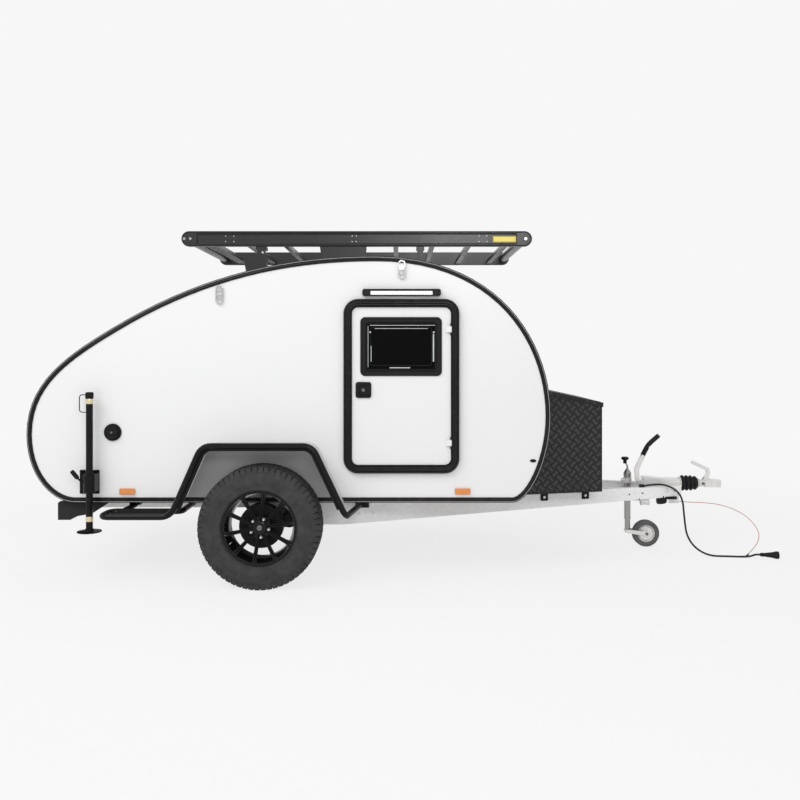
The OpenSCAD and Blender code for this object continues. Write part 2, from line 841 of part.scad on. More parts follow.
module trailing_arms() {
    arm_y1 = arm_y0 + arm_t;
    beam_z = rail_low - beam_h / 2;
    drum_y = wheel_y + drum_in;
    color("#9a9da0") both_sides() {
        along_y(arm_y0, arm_y1) {
            translate([beam_x, beam_z]) circle(r = 38);
            translate([axle_x, axle_z]) circle(r = 32);
            polygon([
                [beam_x - 10, beam_z + 36], [axle_x, axle_z + 32],
                [axle_x, axle_z - 32], [beam_x - 10, beam_z - 36]
            ]);
        }
        along_y(arm_y1, drum_y - 12) translate([axle_x, axle_z]) circle(r = 30);
        along_y(drum_y - 12, drum_y - 6) translate([axle_x, axle_z]) circle(r = drum_d / 2 - 4);
        along_y(drum_y - 6, wheel_y + drum_out - 8) translate([axle_x, axle_z]) circle(r = spindle_r);
    }
}

// ---------- Wheels ----------

// Frame of one wheel: z runs outwards along its axle
module at_wheel(side) {
    on_side(side) translate([axle_x, wheel_y, axle_z]) rotate([-90, 0, 0]) children();
}

tyre_r = tyre_d / 2;
side_steps = 7;
// Half of the tyre's outer section, from the bead up to the tread
function tyre_side(r0, r1, w0, w1) = [
    for (i = [0 : side_steps])
        let (a = i / side_steps)
        [r0 + (r1 - r0) * a, w0 + (w1 - w0) * sin(180 * pow(a, 0.85))]
];
module tyre_section() {
    bead = bead_r + slip;
    lip = bead_r + lip_h + 2;
    wall = 13;
    outer = concat([[bead, rim_half_w]], tyre_side(lip, tyre_r - 26, rim_half_w, tyre_w / 2));
    inner = concat(
        [[bead, rim_half_w - wall]],
        tyre_side(lip, tyre_r - 34, rim_half_w - wall, tyre_w / 2 - wall)
    );
    crown = [[tyre_r - 10, tyre_w / 2 - 13], [tyre_r - 2, tyre_w / 2 - 25], [tyre_r, tyre_w / 2 - 45]];
    half_outer = concat(outer, crown);
    polygon(concat(
        half_outer,
        [for (i = [len(half_outer) - 1 : -1 : 0]) [half_outer[i][0], -half_outer[i][1]]],
        [for (i = [0 : len(inner) - 1]) [inner[i][0], -inner[i][1]]],
        [for (i = [len(inner) - 1 : -1 : 0]) inner[i]]
    ));
}
module tyre(side) {
    color("#2a2b2d") at_wheel(side) rotate_extrude($fn = 120) tyre_section();
}
module tyre_right() { tyre("right"); }
module tyre_left() { tyre("left"); }

spoke_face = 66;
spoke_t = 24;
hub_r = 66;
module rim_section() {
    w = rim_half_w;
    lip_r = bead_r + lip_h;
    inside_r = bead_r - 8;
    polygon([
        [inside_r, -w], [inside_r, -w - 6], [lip_r, -w - 6], [lip_r, -w - slip], [bead_r, -w - slip],
        [bead_r, -w + 30], [bead_r - 22, -w + 48], [bead_r - 22, w - 60], [bead_r, w - 34],
        [bead_r, w + slip], [lip_r, w + slip], [lip_r, w + 6], [inside_r, w + 6], [inside_r, w - 30],
        [inside_r - 22, w - 58], [inside_r - 22, -w + 46], [inside_r, -w + 26]
    ]);
}
module rim(side) {
    color("#0e0f11") at_wheel(side) {
        rotate_extrude($fn = 120) rim_section();
        difference() {
            translate([0, 0, drum_out]) cylinder(r = hub_r, h = spoke_face - drum_out + 4);
            translate([0, 0, drum_out - 1]) cylinder(r = 33, h = spoke_face - drum_out + 10);
        }
        translate([0, 0, spoke_face - 6]) cylinder(r = 33, h = 14);
        for (i = [0 : spokes - 1]) rotate([0, 0, i * 360 / spokes + 9.5])
            translate([0, 0, spoke_face - spoke_t]) linear_extrude(spoke_t)
                polygon([[hub_r - 8, -11], [bead_r - 12, -8], [bead_r - 12, 8], [hub_r - 8, 11]]);
    }
}
module rim_right() { rim("right"); }
module rim_left() { rim("left"); }

module brake_drum(side) {
    color("#1c1d1f") at_wheel(side) difference() {
        union() {
            translate([0, 0, drum_in]) cylinder(r = drum_d / 2, h = drum_out - drum_in - 14);
            translate([0, 0, drum_in]) cylinder(r = hub_r, h = drum_out - drum_in);
        }
        translate([0, 0, drum_in - 1]) cylinder(r = spindle_r + slip, h = drum_out - drum_in + 2);
        translate([0, 0, drum_in - 1]) difference() {
            cylinder(r = drum_d / 2 - 8, h = 55);
            cylinder(r = 40, h = 55);
        }
    }
}
module brake_drum_right() { brake_drum("right"); }
module brake_drum_left() { brake_drum("left"); }

// ---------- Fenders ----------

top_x1 = fender_mid_x + fender_top_l / 2;
top_x0 = fender_mid_x - fender_top_l / 2;
front_foot_x = top_x1 + fender_spread;
rear_foot_x = top_x0 - fender_spread + 15;
step_end_x = rear_foot_x - step_l;

module fender_tubes() {
    front_end_x = front_foot_x + 70;
    plate_s = (drawbar_end_x - front_end_x) / cos(drawbar_angle);
    path = bent_path([
        [front_end_x, drawbar_y(front_end_x) + 7, step_z + 4],
        [front_foot_x, fender_y, step_z],
        [top_x1, fender_y, fender_z],
        [top_x0, fender_y, fender_z],
        [rear_foot_x, fender_y, step_z],
        [step_end_x, fender_y, step_z],
        [step_end_x, step_in_y, step_z],
        [rear_foot_x + 20, step_in_y, step_z],
        [rear_foot_x + 20, drawbar_rear_w - flange_w, step_z]
    ], [0, 44, bend_r, bend_r, bend_r, 50, 50, 40, 0], 6);
    arm_x = step_end_x + 110;
    color("#16171a") both_sides() {
        swept(path, fender_tube_d, 12);
        rod([arm_x - 40, step_in_y, step_z], [arm_x, inner_w - 20, ride_h - 5 - tube_r], tube_r * 0.9);
        box([arm_x - 30, inner_w - 50, ride_h - 5 - tube_r], [arm_x + 30, inner_w - 4, ride_h]);
        along_drawbar("left") box([plate_s - 40, 0, rail_top - 46], [plate_s + 40, 14, rail_top - 4]);
    }
}

// The strip that follows the fender tube, seen from the side
module fender_strip(t) {
    leg_low = ride_h + 4;
    front_low_x = front_foot_x - fender_spread * (leg_low - step_z) / (fender_z - step_z);
    rear_low_x = rear_foot_x + (fender_spread - 15) * (leg_low - step_z) / (fender_z - step_z);
    polygon(concat(
        [[front_low_x, leg_low]],
        corner([front_low_x, leg_low], [top_x1, fender_z], [top_x0, fender_z], 0),
        corner([top_x1, fender_z], [top_x0, fender_z], [rear_low_x, leg_low], 0),
        [[rear_low_x, leg_low], [rear_low_x + t, leg_low]],
        reversed(corner([top_x1, fender_z], [top_x0, fender_z], [rear_low_x, leg_low], t)),
        reversed(corner([front_low_x, leg_low], [top_x1, fender_z], [top_x0, fender_z], t)),
        [[front_low_x - t, leg_low]]
    ));
}
// Rounded corner of the fender at b, moved to its inside by inset
function corner(a, b, c, inset) =
    let (
        d0 = unit(b - a), d1 = unit(c - b), turn = acos(d0 * d1),
        start = b - bend_r * tan(turn / 2) * d0,
        side = [-d0[1], d0[0]],
        centre = start + bend_r * side
    )
    [for (i = [0 : 6]) centre - (bend_r - inset) * (cos(turn * i / 6) * side - sin(turn * i / 6) * d0)];

module fenders() {
    color("#e8e8e8") both_sides()
        along_y(half_w + trim_t, fender_y - tube_r) fender_strip(3);
}

// ---------- Front box ----------

// Side view of the box, its back following the nose, moved inwards by inset
module box_profile(inset) {
    difference() {
        polygon([
            [nose_foot_x, box_bottom + inset], [box_front_x - inset, box_bottom + inset],
            [box_front_x - inset, box_bottom + box_front_h], [lid_rear_x, box_bottom + box_rear_h],
            [nose_foot_x, box_bottom + box_rear_h]
        ]);
        body_profile(-box_gap - inset);
        translate([nose_foot_x - 1, 0]) square([nose_x - nose_foot_x - 160 + inset, crown_z]);
    }
}
// Half-width of the box at a place along it
function box_w(x) = box_front_w + (box_front_x - x) * box_flare;
// Plan of the box or its lid between two places, with a margin added all round
module box_plan(x0, x1, margin) {
    w0 = box_w(x0) + margin;
    w1 = box_w(x1) + margin;
    polygon([[x0, -w0], [x1, -w1], [x1, w1], [x0, w0]]);
}
module box_solid(inset) {
    intersection() {
        along_y(-box_rear_w - 200, box_rear_w + 200) box_profile(inset);
        linear_extrude(crown_z) box_plan(nose_foot_x, box_front_x + 20, -inset);
    }
}

module front_box() {
    color("#26282b") {
        difference() {
            box_solid(0);
            box_solid(box_t);
        }
        box_hinge_lugs();
    }
}

lid_slope = atan2(box_rear_h - box_front_h, box_front_x - lid_rear_x);
box_hinge = [lid_rear_x, box_bottom + box_rear_h + 8];
module box_hinge_lugs() {
    for (y = [-0.55, 0.55]) translate([0, y * box_front_w, 0]) {
        along_y(-50, -26) box_lug();
        along_y(26, 50) box_lug();
        along_y(-50, 50) translate(box_hinge) circle(r = 3);
    }
}
module box_lug() {
    translate(box_hinge) circle(r = box_hinge_r);
    translate([box_hinge[0] - box_hinge_r, box_bottom + box_rear_h - 40]) square([8, 48]);
}

module box_lid() {
    color("#26282b") {
        difference() {
            intersection() {
                along_y(-box_rear_w - 100, box_rear_w + 100) lid_profile(0);
                linear_extrude(crown_z) box_plan(lid_rear_x - 20, box_front_x + 30, lid_overhang);
            }
            intersection() {
                along_y(-box_rear_w - 100, box_rear_w + 100) lid_profile(lid_t);
                linear_extrude(crown_z) box_plan(lid_rear_x - 21, box_front_x + 31, lid_overhang - lid_t);
            }
        }
        for (y = [-0.55, 0.55]) translate([0, y * box_front_w, 0]) difference() {
            along_y(-24, 24) {
                translate(box_hinge) circle(r = box_hinge_r);
                translate(box_hinge) rotate(-lid_slope) translate([0, -2]) square([30, 4]);
            }
            along_y(-25, 25) translate(box_hinge) circle(r = 3 + slip);
        }
    }
}
// Side view of the lid, hollow from below when inset
module lid_profile(inset) {
    x0 = lid_rear_x + 10;
    x1 = box_front_x + lid_overhang;
    top = box_bottom + box_rear_h + 9;
    drop = tan(lid_slope);
    polygon([
        [x0 - (inset > 0 ? 1 : 0), top - inset],
        [x1 - inset, top - inset - (x1 - x0) * drop],
        [x1 - inset, top - lid_lip - (x1 - x0) * drop - (inset > 0 ? 1 : 0)],
        [x0 - (inset > 0 ? 1 : 0), top - lid_lip - (inset > 0 ? 1 : 0)]
    ]);
}
module box_feet() {
    foot_w = 56;
    foot_h = 47;
    color("#16171a")
        for (side = ["right", "left"], x = [nose_x + 18, nose_x + 281])
            along_drawbar(side) translate([(drawbar_end_x - x) / cos(drawbar_angle) - foot_w / 2, 0, 0]) {
                box([0, 0, box_bottom - foot_h], [foot_w, 5, box_bottom]);
                box([0, 0, box_bottom - 5], [foot_w, 50, box_bottom]);
            }
}

// ---------- Roof rack ----------

module rack_frame() {
    color("#16171a") {
        both_sides() difference() {
            along_y(rack_half_w - rail_t, rack_half_w)
                translate([rack_mid_x, rail_mid_z]) stadium(rack_l, rail_h);
            along_y(rack_half_w - 9, rack_half_w + 1)
                translate([rack_mid_x, rail_mid_z]) square([rack_l - 190, rail_h - 34], center = true);
        }
        for (x = [rack_x0 + rail_h / 2, rack_x1 - rail_h / 2])
            along_y(-rack_inner_w, rack_inner_w) translate([x, rail_mid_z]) circle(d = rail_h - 34);
    }
}

module rack_slats() {
    color("#16171a") for (k = [0 : slats - 1]) {
        w = k == 0 ? 54 : 30;
        x = slat_first + k * slat_pitch;
        box([x - w / 2, -rack_inner_w, slat_z], [x + w / 2, rack_inner_w, slat_z + slat_h]);
    }
}

// Room above the body's outer surface, for what stands on the roof
module above_roof(y0, y1) {
    difference() {
        children();
        along_y(y0 - 1, y1 + 1) body_profile(trim_t);
    }
}

module rack_feet() {
    y0 = rack_half_w - 60;
    y1 = rack_half_w - 2;
    color("#16171a") both_sides() above_roof(y0 - 40, y1 + 40) {
        along_y(y0, y1) {
            translate([frame_x - 85, rail_z0 - 22]) square([66, 22]);
            translate([frame_x - 76, crown_z - 120]) square([44, rail_z0 - crown_z + 120]);
            polygon([
                [frame_x - 160, rail_z0 - 62], [frame_x - 19, rail_z0 - 62],
                [frame_x - 19, crown_z - 130], [frame_x - 130, crown_z - 130]
            ]);
            translate([frame_x + 879, rail_z0 - 22]) square([48, 22]);
            translate([frame_x + 886, crown_z - 60]) square([34, rail_z0 - crown_z + 60]);
            polygon([
                [frame_x + 300, rail_z0], [frame_x + 580, rail_z0],
                [frame_x + 560, crown_z - 60], [frame_x + 320, crown_z - 60]
            ]);
        }
    }
}

// ---------- Stands ----------

module stand_clamps() {
    sleeve_z = clamp_z0 + 20;
    sleeve_h = clamp_h - 35;
    color("#16171a") both_sides() difference() {
        union() {
            box([clamp_x0, half_w, clamp_z0], [clamp_x0 + clamp_w, half_w + 6, clamp_z0 + clamp_h]);
            box([stand_x - 32, half_w + 6, sleeve_z], [stand_x + 32, stand_y, sleeve_z + sleeve_h]);
            translate([stand_x, stand_y, sleeve_z]) cylinder(r = 32, h = sleeve_h);
            rod([stand_x - 28, stand_y, clamp_z0 + 60], [stand_x - 62, stand_y + 6, clamp_z0 + 96], 5);
            rod([stand_x - 62, stand_y + 6, clamp_z0 + 96], [stand_x - 84, stand_y + 8, clamp_z0 + 124], 9);
        }
        translate([stand_x, stand_y, clamp_z0 - 1]) cylinder(r = stand_r + slip, h = clamp_h + 2);
    }
}

module stand_leg(side) {
    top = stand_foot_z + stand_l;
    color("#16171a") on_side(side) {
        translate([stand_x, stand_y, stand_foot_z]) cylinder(r = stand_r, h = stand_l);
        translate([stand_x, stand_y, stand_foot_z]) cylinder(r = 68, h = 6);
        translate([stand_x, stand_y, stand_foot_z + 6]) cylinder(r = 26, h = 10);
        for (z = [top - 14, top - 112])
            rod([stand_x - 61, stand_y, z], [stand_x, stand_y, z], 5);
        rod([stand_x - 56, stand_y, top - 112], [stand_x - 56, stand_y, top - 14], 5);
    }
}
module stand_leg_right() { stand_leg("right"); }
module stand_leg_left() { stand_leg("left"); }

// ---------- Jockey wheel ----------

module jockey_clamp() {
    web_y = drawbar_y(jockey_x) - steel_t;
    color("#c4c8cb") difference() {
        union() {
            translate([jockey_x, jockey_y, rail_top]) cylinder(r = jockey_tube_r + 9, h = 34);
            box([jockey_x - 24, jockey_y, rail_top], [jockey_x + 24, web_y, rail_top + 8]);
            translate([jockey_x - jockey_tube_r - 6, jockey_y, rail_top + 17])
                rotate([-90, 0, 0]) cylinder(r = 6, h = 46);
        }
        translate([jockey_x, jockey_y, rail_top - 1]) cylinder(r = jockey_tube_r + slip, h = 36);
    }
}

module jockey_tube() {
    tube_l = jockey_tube_top - jockey_tube_low;
    color("#c4c8cb") translate([jockey_x, jockey_y, jockey_tube_top]) {
        translate([0, 0, -tube_l]) difference() {
            cylinder(r = jockey_tube_r, h = tube_l);
            translate([0, 0, -1]) cylinder(r = jockey_leg_r + slip, h = tube_l - 6);
        }
        translate([0, 0, -26]) cylinder(r = jockey_tube_r + 5, h = 26);
        cylinder(r1 = jockey_tube_r + 4, r2 = 9, h = 26);
        translate([0, 0, 26]) cylinder(r = 6, h = 24);
        rod([0, 0, 46], [-14, 0, 66], 5);
        translate([-16, 0, 66]) cylinder(r = 9, h = 26);
        translate([-16, 0, 92]) cylinder(r = 16, h = 11);
    }
}

module jockey_leg() {
    color("#c4c8cb") translate([jockey_x, jockey_y, jockey_leg_low]) cylinder(r = jockey_leg_r, h = jockey_leg_l);
}

module jockey_fork() {
    fork_y = 34;
    fork_t = 4;
    color("#c4c8cb") translate([0, jockey_y, 0]) {
        translate([jockey_x, 0, jockey_leg_low - 0.5 - 22]) cylinder(r = jockey_leg_r, h = 22);
        for (y = [-fork_y, fork_y - fork_t]) along_y(y, y + fork_t) {
            translate([jockey_wheel_x, jockey_r]) circle(r = 14);
            polygon([
                [jockey_x - 14, jockey_leg_low - 1], [jockey_x - 14, jockey_leg_low - 22],
                [jockey_wheel_x, jockey_r - 14], [jockey_wheel_x, jockey_r + 14],
                [jockey_x + 16, jockey_leg_low - 1]
            ]);
        }
        box([jockey_x - 14, -fork_y, jockey_leg_low - 4.5], [jockey_x + 14, fork_y, jockey_leg_low - 0.5]);
        along_y(-fork_y - 6, fork_y + 6) translate([jockey_wheel_x, jockey_r]) circle(r = 6);
    }
}

module jockey_wheel() {
    half = 26;
    side = [
        [6 + slip, 28], [16, 28], [16, 8], [jockey_r - 30, 8], [jockey_r - 28, half],
        [jockey_r - 6, half], [jockey_r, half - 7]
    ];
    color("#6f7173") translate([jockey_wheel_x, jockey_y, jockey_r]) rotate([-90, 0, 0])
        rotate_extrude($fn = 96) polygon(concat([for (p = side) [p[0], -p[1]]], reversed(side)));
}

// ---------- Coupling ----------

module overrun_housing() {
    plate_t = 6;
    cheek_y = -42;
    color("#c4c8cb") {
        along_y(cheek_y, -cheek_y) polygon([
            [housing_x0, rail_top], [housing_x0, rail_top + 52], [housing_x0 + 40, rail_top + 52],
            [housing_x0 + 110, rail_top + 42], [bellows_x - 12, rail_top + 38], [bellows_x - 12, rail_top]
        ]);
        translate([bellows_x - 12, 0, draw_z]) rotate([0, 90, 0]) cylinder(r = 34, h = 12);
        box(
            [drawbar_end_x - 150, -drawbar_tip_w, rail_top],
            [bellows_x - 12, drawbar_tip_w, rail_top + plate_t]
        );
        box([drawbar_end_x - 60, -8, breakaway_z - 10], [drawbar_end_x + 6, 8, rail_top + 1]);
        box([lever_x - 16, cheek_y, rail_top - 74], [housing_x0 + 8, cheek_y + 12, rail_top + 30]);
        along_y(lever_y - 10, cheek_y + 1) translate([lever_x, lever_z]) circle(r = lever_pin_r);
    }
}

// The folded bellows, and the rubber gland on the right member that the power cable comes out of
module bellows_and_gland() {
    folds = 4;
    steps = 8 * folds;
    color("#141416") {
        translate([bellows_x, 0, draw_z]) rotate([0, 90, 0]) rotate_extrude($fn = 72)
            polygon(concat(
                [[0, 0], [34, 0]],
                [for (i = [0 : steps]) [43 - 9 * cos(i * 45), 1 + i * (bellows_l - 2) / steps]],
                [[34, bellows_l], [0, bellows_l]]
            ));
        gland = power_route[0];
        box([gland[0] - 34, gland[1] - 11, rail_top], [gland[0] - 8, gland[1] + 11, gland[2] + 9]);
        translate(gland - [9, 0, 0]) rotate([0, 90, 0]) cylinder(r1 = 9, r2 = 7, h = 7.8);
    }
}

module coupling_head() {
    ball_x = tip_x - 45;
    color("#c4c8cb") difference() {
        union() {
            translate([head_x, 0, draw_z]) rotate([0, 90, 0]) cylinder(r = 24, h = 60);
            translate([0, 0, coupling_z]) linear_extrude(44) {
                translate([ball_x, 0]) circle(r = 45);
                translate([head_x + 34, -34]) square([ball_x - head_x - 34, 68]);
            }
            for (y = [-19, 13]) along_y(y, y + 6) {
                translate([catch_x, catch_z]) circle(r = 10);
                polygon([
                    [catch_x - 30, coupling_z + 40], [catch_x + 34, coupling_z + 40],
                    [catch_x + 8, catch_z + 6], [catch_x - 8, catch_z + 6]
                ]);
            }
            along_y(-19, 19) translate([catch_x, catch_z]) circle(r = catch_pin_r);
        }
        translate([ball_x, 0, coupling_z - 1]) cylinder(r = ball_r + 0.1, h = 15);
        translate([ball_x, 0, coupling_z + 12]) sphere(r = ball_r + 0.1);
    }
}

// A flat bar bent along points drawn in x and z
module flat_bar(pts, t) {
    for (i = [0 : len(pts) - 2]) {
        d = unit(pts[i + 1] - pts[i]);
        n = t / 2 * [-d[1], d[0]];
        polygon([pts[i] - n, pts[i + 1] - n, pts[i + 1] + n, pts[i] + n]);
    }
    for (p = pts) translate(p) circle(d = t + 0.6);
}

module coupling_handle() {
    color("#c4c8cb") along_y(-12, 12) translate([catch_x, catch_z]) difference() {
        union() {
            flat_bar([[0, 0], [12, 24], [8, 52], [-88, 98]], catch_bar_w);
            circle(r = catch_bar_w / 2 + 1);
        }
        circle(r = catch_pin_r + slip);
    }
}

module handbrake_lever() {
    elbow = [9, 205];
    grip = [elbow - [4, 6], elbow + [20, 42], [54, 286], [117, 342]];
    color("#c4c8cb") translate([lever_x, lever_y, lever_z]) {
        along_y(-6, 6) difference() {
            union() {
                flat_bar([[0, 0], [-26, 56], [-29, 119], elbow], lever_bar_w);
                circle(r = lever_bar_w / 2 + 2);
            }
            circle(r = lever_pin_r + slip);
        }
        swept([for (p = grip) [p[0], 0, p[1]]], lever_grip_d, 12);
    }
}

// The rod under the chassis that pulls the wheel brakes
module brake_rod() {
    rod_x0 = beam_x + beam_h / 2;
    color("#9a9da0") translate([rod_x0, 0, rail_low - 26])
        rotate([0, 90, 0]) cylinder(r = 5, h = lever_x - 16 - rod_x0);
}

// ---------- Rear ----------

module rear_bumper() {
    end_y = half_w - 34;
    color("#16171a") {
        box([bumper_x, -end_y, ride_h - 106], [bumper_x + bumper_l, end_y, ride_h - 6]);
        both_sides() along_y(end_y - 26, end_y) translate([bumper_x, ride_h]) polygon([
            [70, -106], [92, -88], [195, -70], [276, -18], [298, 0], [8, 0], [8, -40]
        ]);
    }
}

module tail_lamps() {
    color("#a01818") both_sides()
        box([bumper_x - lamp_t, half_w - 290, ride_h - 98], [bumper_x, half_w - 50, ride_h - 14]);
}

// ---------- Cords ----------

module power_cable() {
    color("#1a1a1c") swept(spline_path(power_route, 2), power_d, 10);
}

module power_plug() {
    color("#1a1a1c") translate(plug_from) rotate([0, 0, -8]) rotate([0, 90, 0]) {
        cylinder(r = plug_r * 0.5, h = plug_l * 0.3);
        translate([0, 0, plug_l * 0.3]) cylinder(r1 = plug_r * 0.6, r2 = plug_r, h = plug_l * 0.7);
    }
}

module breakaway_cable() {
    color("#b5543a") swept(spline_path(breakaway_route, 2), breakaway_d, 8);
}

module breakaway_clip() {
    cable_end = breakaway_route[len(breakaway_route) - 1];
    color("silver") translate(cable_end - [clip_l + clip_gap, 0, 0]) rotate([0, 90, 0]) cylinder(r = 4, h = clip_l);
}

side_wall_right();
side_wall_left();
edge_trims();
roof_shell();
cabin_floor();
galley_bulkhead();
galley_cabinet();
door_frames();
awning_lights();
drawbar_right();
drawbar_left();
rear_frame();
axle_beam();
trailing_arms();
fenders();
fender_tubes();
front_box();
box_feet();
rack_frame();
rack_slats();
rack_feet();
stand_clamps();
jockey_clamp();
overrun_housing();
bellows_and_gland();
coupling_head();
rear_bumper();
tail_lamps();
marker_lamps();
tie_loops();
filler_cap();
brake_rod();
power_cable();
power_plug();
breakaway_cable();
breakaway_clip();
rear_hatch();
door_right();
window_frame_right();
window_glass_right();
door_lock_right();
door_left();
window_frame_left();
window_glass_left();
door_lock_left();
box_lid();
tyre_right();
rim_right();
brake_drum_right();
tyre_left();
rim_left();
brake_drum_left();
stand_leg_right();
stand_leg_left();
jockey_tube();
jockey_leg();
jockey_fork();
jockey_wheel();
coupling_handle();
handbrake_lever();
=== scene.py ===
import json
import math

import bmesh
import bpy
from mathutils import Matrix, Vector
from mathutils.bvhtree import BVHTree


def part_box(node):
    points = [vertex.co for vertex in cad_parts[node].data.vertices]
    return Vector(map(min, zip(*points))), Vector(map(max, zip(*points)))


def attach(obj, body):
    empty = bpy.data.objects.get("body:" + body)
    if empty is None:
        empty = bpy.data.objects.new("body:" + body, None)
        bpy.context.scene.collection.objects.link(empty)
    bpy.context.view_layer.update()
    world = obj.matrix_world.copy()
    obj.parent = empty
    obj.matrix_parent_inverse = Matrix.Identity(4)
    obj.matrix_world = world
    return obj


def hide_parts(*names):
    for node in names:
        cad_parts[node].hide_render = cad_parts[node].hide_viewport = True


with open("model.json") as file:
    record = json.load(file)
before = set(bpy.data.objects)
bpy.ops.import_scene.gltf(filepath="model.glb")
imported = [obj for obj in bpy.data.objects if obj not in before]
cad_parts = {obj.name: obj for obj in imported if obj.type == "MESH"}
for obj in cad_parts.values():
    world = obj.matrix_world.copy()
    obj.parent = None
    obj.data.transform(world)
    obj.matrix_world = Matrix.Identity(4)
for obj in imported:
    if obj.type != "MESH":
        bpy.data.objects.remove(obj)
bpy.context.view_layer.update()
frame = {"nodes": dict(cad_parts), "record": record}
SIDES = {"right": -1, "left": 1}


def in_scene(name, data):
    made = bpy.data.objects.new(name, data)
    bpy.context.scene.collection.objects.link(made)
    return made


# ---------- Camera ----------


def make_camera():
    """A level camera on the trailer's right side."""
    view = bpy.data.cameras.new("camera")
    view.lens = 37.9
    view.sensor_width = 36.0
    view.shift_y = -0.06
    view.clip_end = 200
    camera = in_scene("camera", view)
    camera.location = (0.0, -5.60, 1.308)
    camera.rotation_euler = (math.radians(90), 0, 0)
    bpy.context.scene.camera = camera


make_camera()


# ---------- Nodes and shader arithmetic ----------


def feed(tree, socket, value):
    """Links a socket to another one, or gives it a value of its own."""
    value = getattr(value, "socket", value)
    if isinstance(value, bpy.types.NodeSocket):
        tree.links.new(value, socket)
    else:
        socket.default_value = value


def add_node(tree, kind, settings=None, inputs=None):
    """Adds a node of any kind: its settings first, then what its sockets hold."""
    node = tree.nodes.new(kind)
    for key, value in (settings or {}).items():
        setattr(node, key, value)
    for key, value in (inputs or {}).items():
        feed(tree, node.inputs[key], value)
    return node


def operator(operation, swapped=False):
    """A method that adds a Math node; a reflected form has its two values swapped."""

    def method(value, other=None):
        pair = (other, value) if swapped else (value, other)
        given = dict(enumerate(x for x in pair if x is not None))
        return value.finish.add("ShaderNodeMath", {"operation": operation}, given)

    return method


class Value:
    """A socket of a finish, so that shader maths reads as plain arithmetic."""

    def __init__(self, finish, socket):
        self.finish = finish
        self.socket = socket

    def ramp(self, low, high):
        """0 up to low, 1 from high on, and smooth between them."""
        settings = {"interpolation_type": "SMOOTHSTEP"}
        return self.finish.add("ShaderNodeMapRange", settings, {0: self, 1: low, 2: high})

    __add__ = __radd__ = operator("ADD")
    __sub__, __rsub__ = operator("SUBTRACT"), operator("SUBTRACT", swapped=True)
    __mul__ = __rmul__ = operator("MULTIPLY")
    __gt__, __lt__ = operator("GREATER_THAN"), operator("LESS_THAN")
    __abs__ = operator("ABSOLUTE")
    wave = operator("SINE")


class Finish:
    """One surface finish: its shader's own sockets hold what is the same all over."""

    def __init__(self, name, colour, roughness, metallic=0.0, **own):
        self.material = bpy.data.materials.new(name)
        self.material.use_nodes = True
        self.tree = self.material.node_tree
        self.shader = self.tree.nodes["Principled BSDF"]
        colour = (*colour[:3], 1)
        self.material.diffuse_color = colour
        self.set(Base_Color=colour, Roughness=roughness, Metallic=metallic, **own)
        self.place = self.add("ShaderNodeTexCoord", output="Object")

    def set(self, **sockets):
        for name, value in sockets.items():
            feed(self.tree, self.shader.inputs[name.replace("_", " ")], value)
        return self

    def add(self, kind, settings=None, inputs=None, output=0):
        return Value(self, add_node(self.tree, kind, settings, inputs).outputs[output])

    def stretched(self, scale):
        return self.add("ShaderNodeMapping", {}, {"Vector": self.place, "Scale": scale})

    def noise(self, scale, detail=2.0, rough=0.5, where=None):
        inputs = {"Vector": where or self.place, "Scale": scale, "Detail": detail, "Roughness": rough}
        return self.add("ShaderNodeTexNoise", {}, inputs)

    def cells(self, scale, feature="F1", where=None, output="Distance"):
        inputs = {"Vector": where or self.place, "Scale": scale}
        return self.add("ShaderNodeTexVoronoi", {"feature": feature}, inputs, output)

    def axes(self):
        split = self.add("ShaderNodeSeparateXYZ", {}, {0: self.place})
        return [Value(self, split.socket.node.outputs[i]) for i in range(3)]

    def mix(self, factor, first, second):
        return self.add("ShaderNodeMix", {"data_type": "RGBA"}, {0: factor, 6: first, 7: second}, 2)

    def clouded(self, cloud, dark, light, roughness, spread):
        """Colour between dark and light, and a roughness that rises by spread, both by a cloud of noise."""
        return self.set(Base_Color=self.mix(cloud, dark, light), Roughness=cloud * spread + roughness)

    def bump(self, height, distance, strength):
        inputs = {"Height": height, "Distance": distance, "Strength": strength}
        return self.set(Normal=self.add("ShaderNodeBump", {}, inputs))


# ---------- Finishes ----------


def grey(level):
    return (level, level, level * 1.01, 1)


def enamel(name="white_enamel"):
    """Glossy white panel skin with a faint orange peel."""
    f = Finish(name, grey(0.80), 0.25, Coat_Roughness=0.06, Coat_Weight=0.2)
    f.clouded(f.noise(1.7, 3), (0.796, 0.797, 0.80, 1), (0.808, 0.808, 0.808, 1), 0.26, 0.06)
    return f.bump(f.noise(240, 2), 0.0002, 0.25)


def door_enamel():
    """The same enamel, with the hinge lugs that reach past the leaf's edge in black."""
    half_leaf = 0.2848
    f = enamel("door_enamel")
    low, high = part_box("door_frames")
    lug = abs(f.axes()[0] - (low.x + high.x) / 2) > half_leaf
    return f.set(Base_Color=f.mix(lug, (0.80, 0.80, 0.80, 1), grey(0.009)), Coat_Weight=0.2 - 0.2 * lug)


def satin_black(name, level, roughness, peel=320.0, depth=0.0003, sheen=0.12):
    """Black powder coat: a fine pebbled skin, a little worn to grey in places."""
    f = Finish(name, grey(level), roughness, Specular_IOR_Level=sheen)
    f.clouded(f.noise(5, 4, 0.6), grey(level * 0.75), grey(level * 1.35), roughness - 0.09, 0.18)
    return f.bump(f.noise(peel, 3), depth, 0.5)


def gloss_black(name, level, roughness):
    """Smooth black paint or rubber with a thin clear coat."""
    f = Finish(name, grey(level), roughness, Specular_IOR_Level=0.19, Coat_Roughness=0.08)
    cloud = f.noise(9, 3)
    f.clouded(cloud, grey(level * 0.8), grey(level * 1.3), roughness - 0.05, 0.12)
    f.set(Coat_Weight=cloud * 0.12)
    return f.bump(f.noise(150, 2), 0.00003, 0.2)


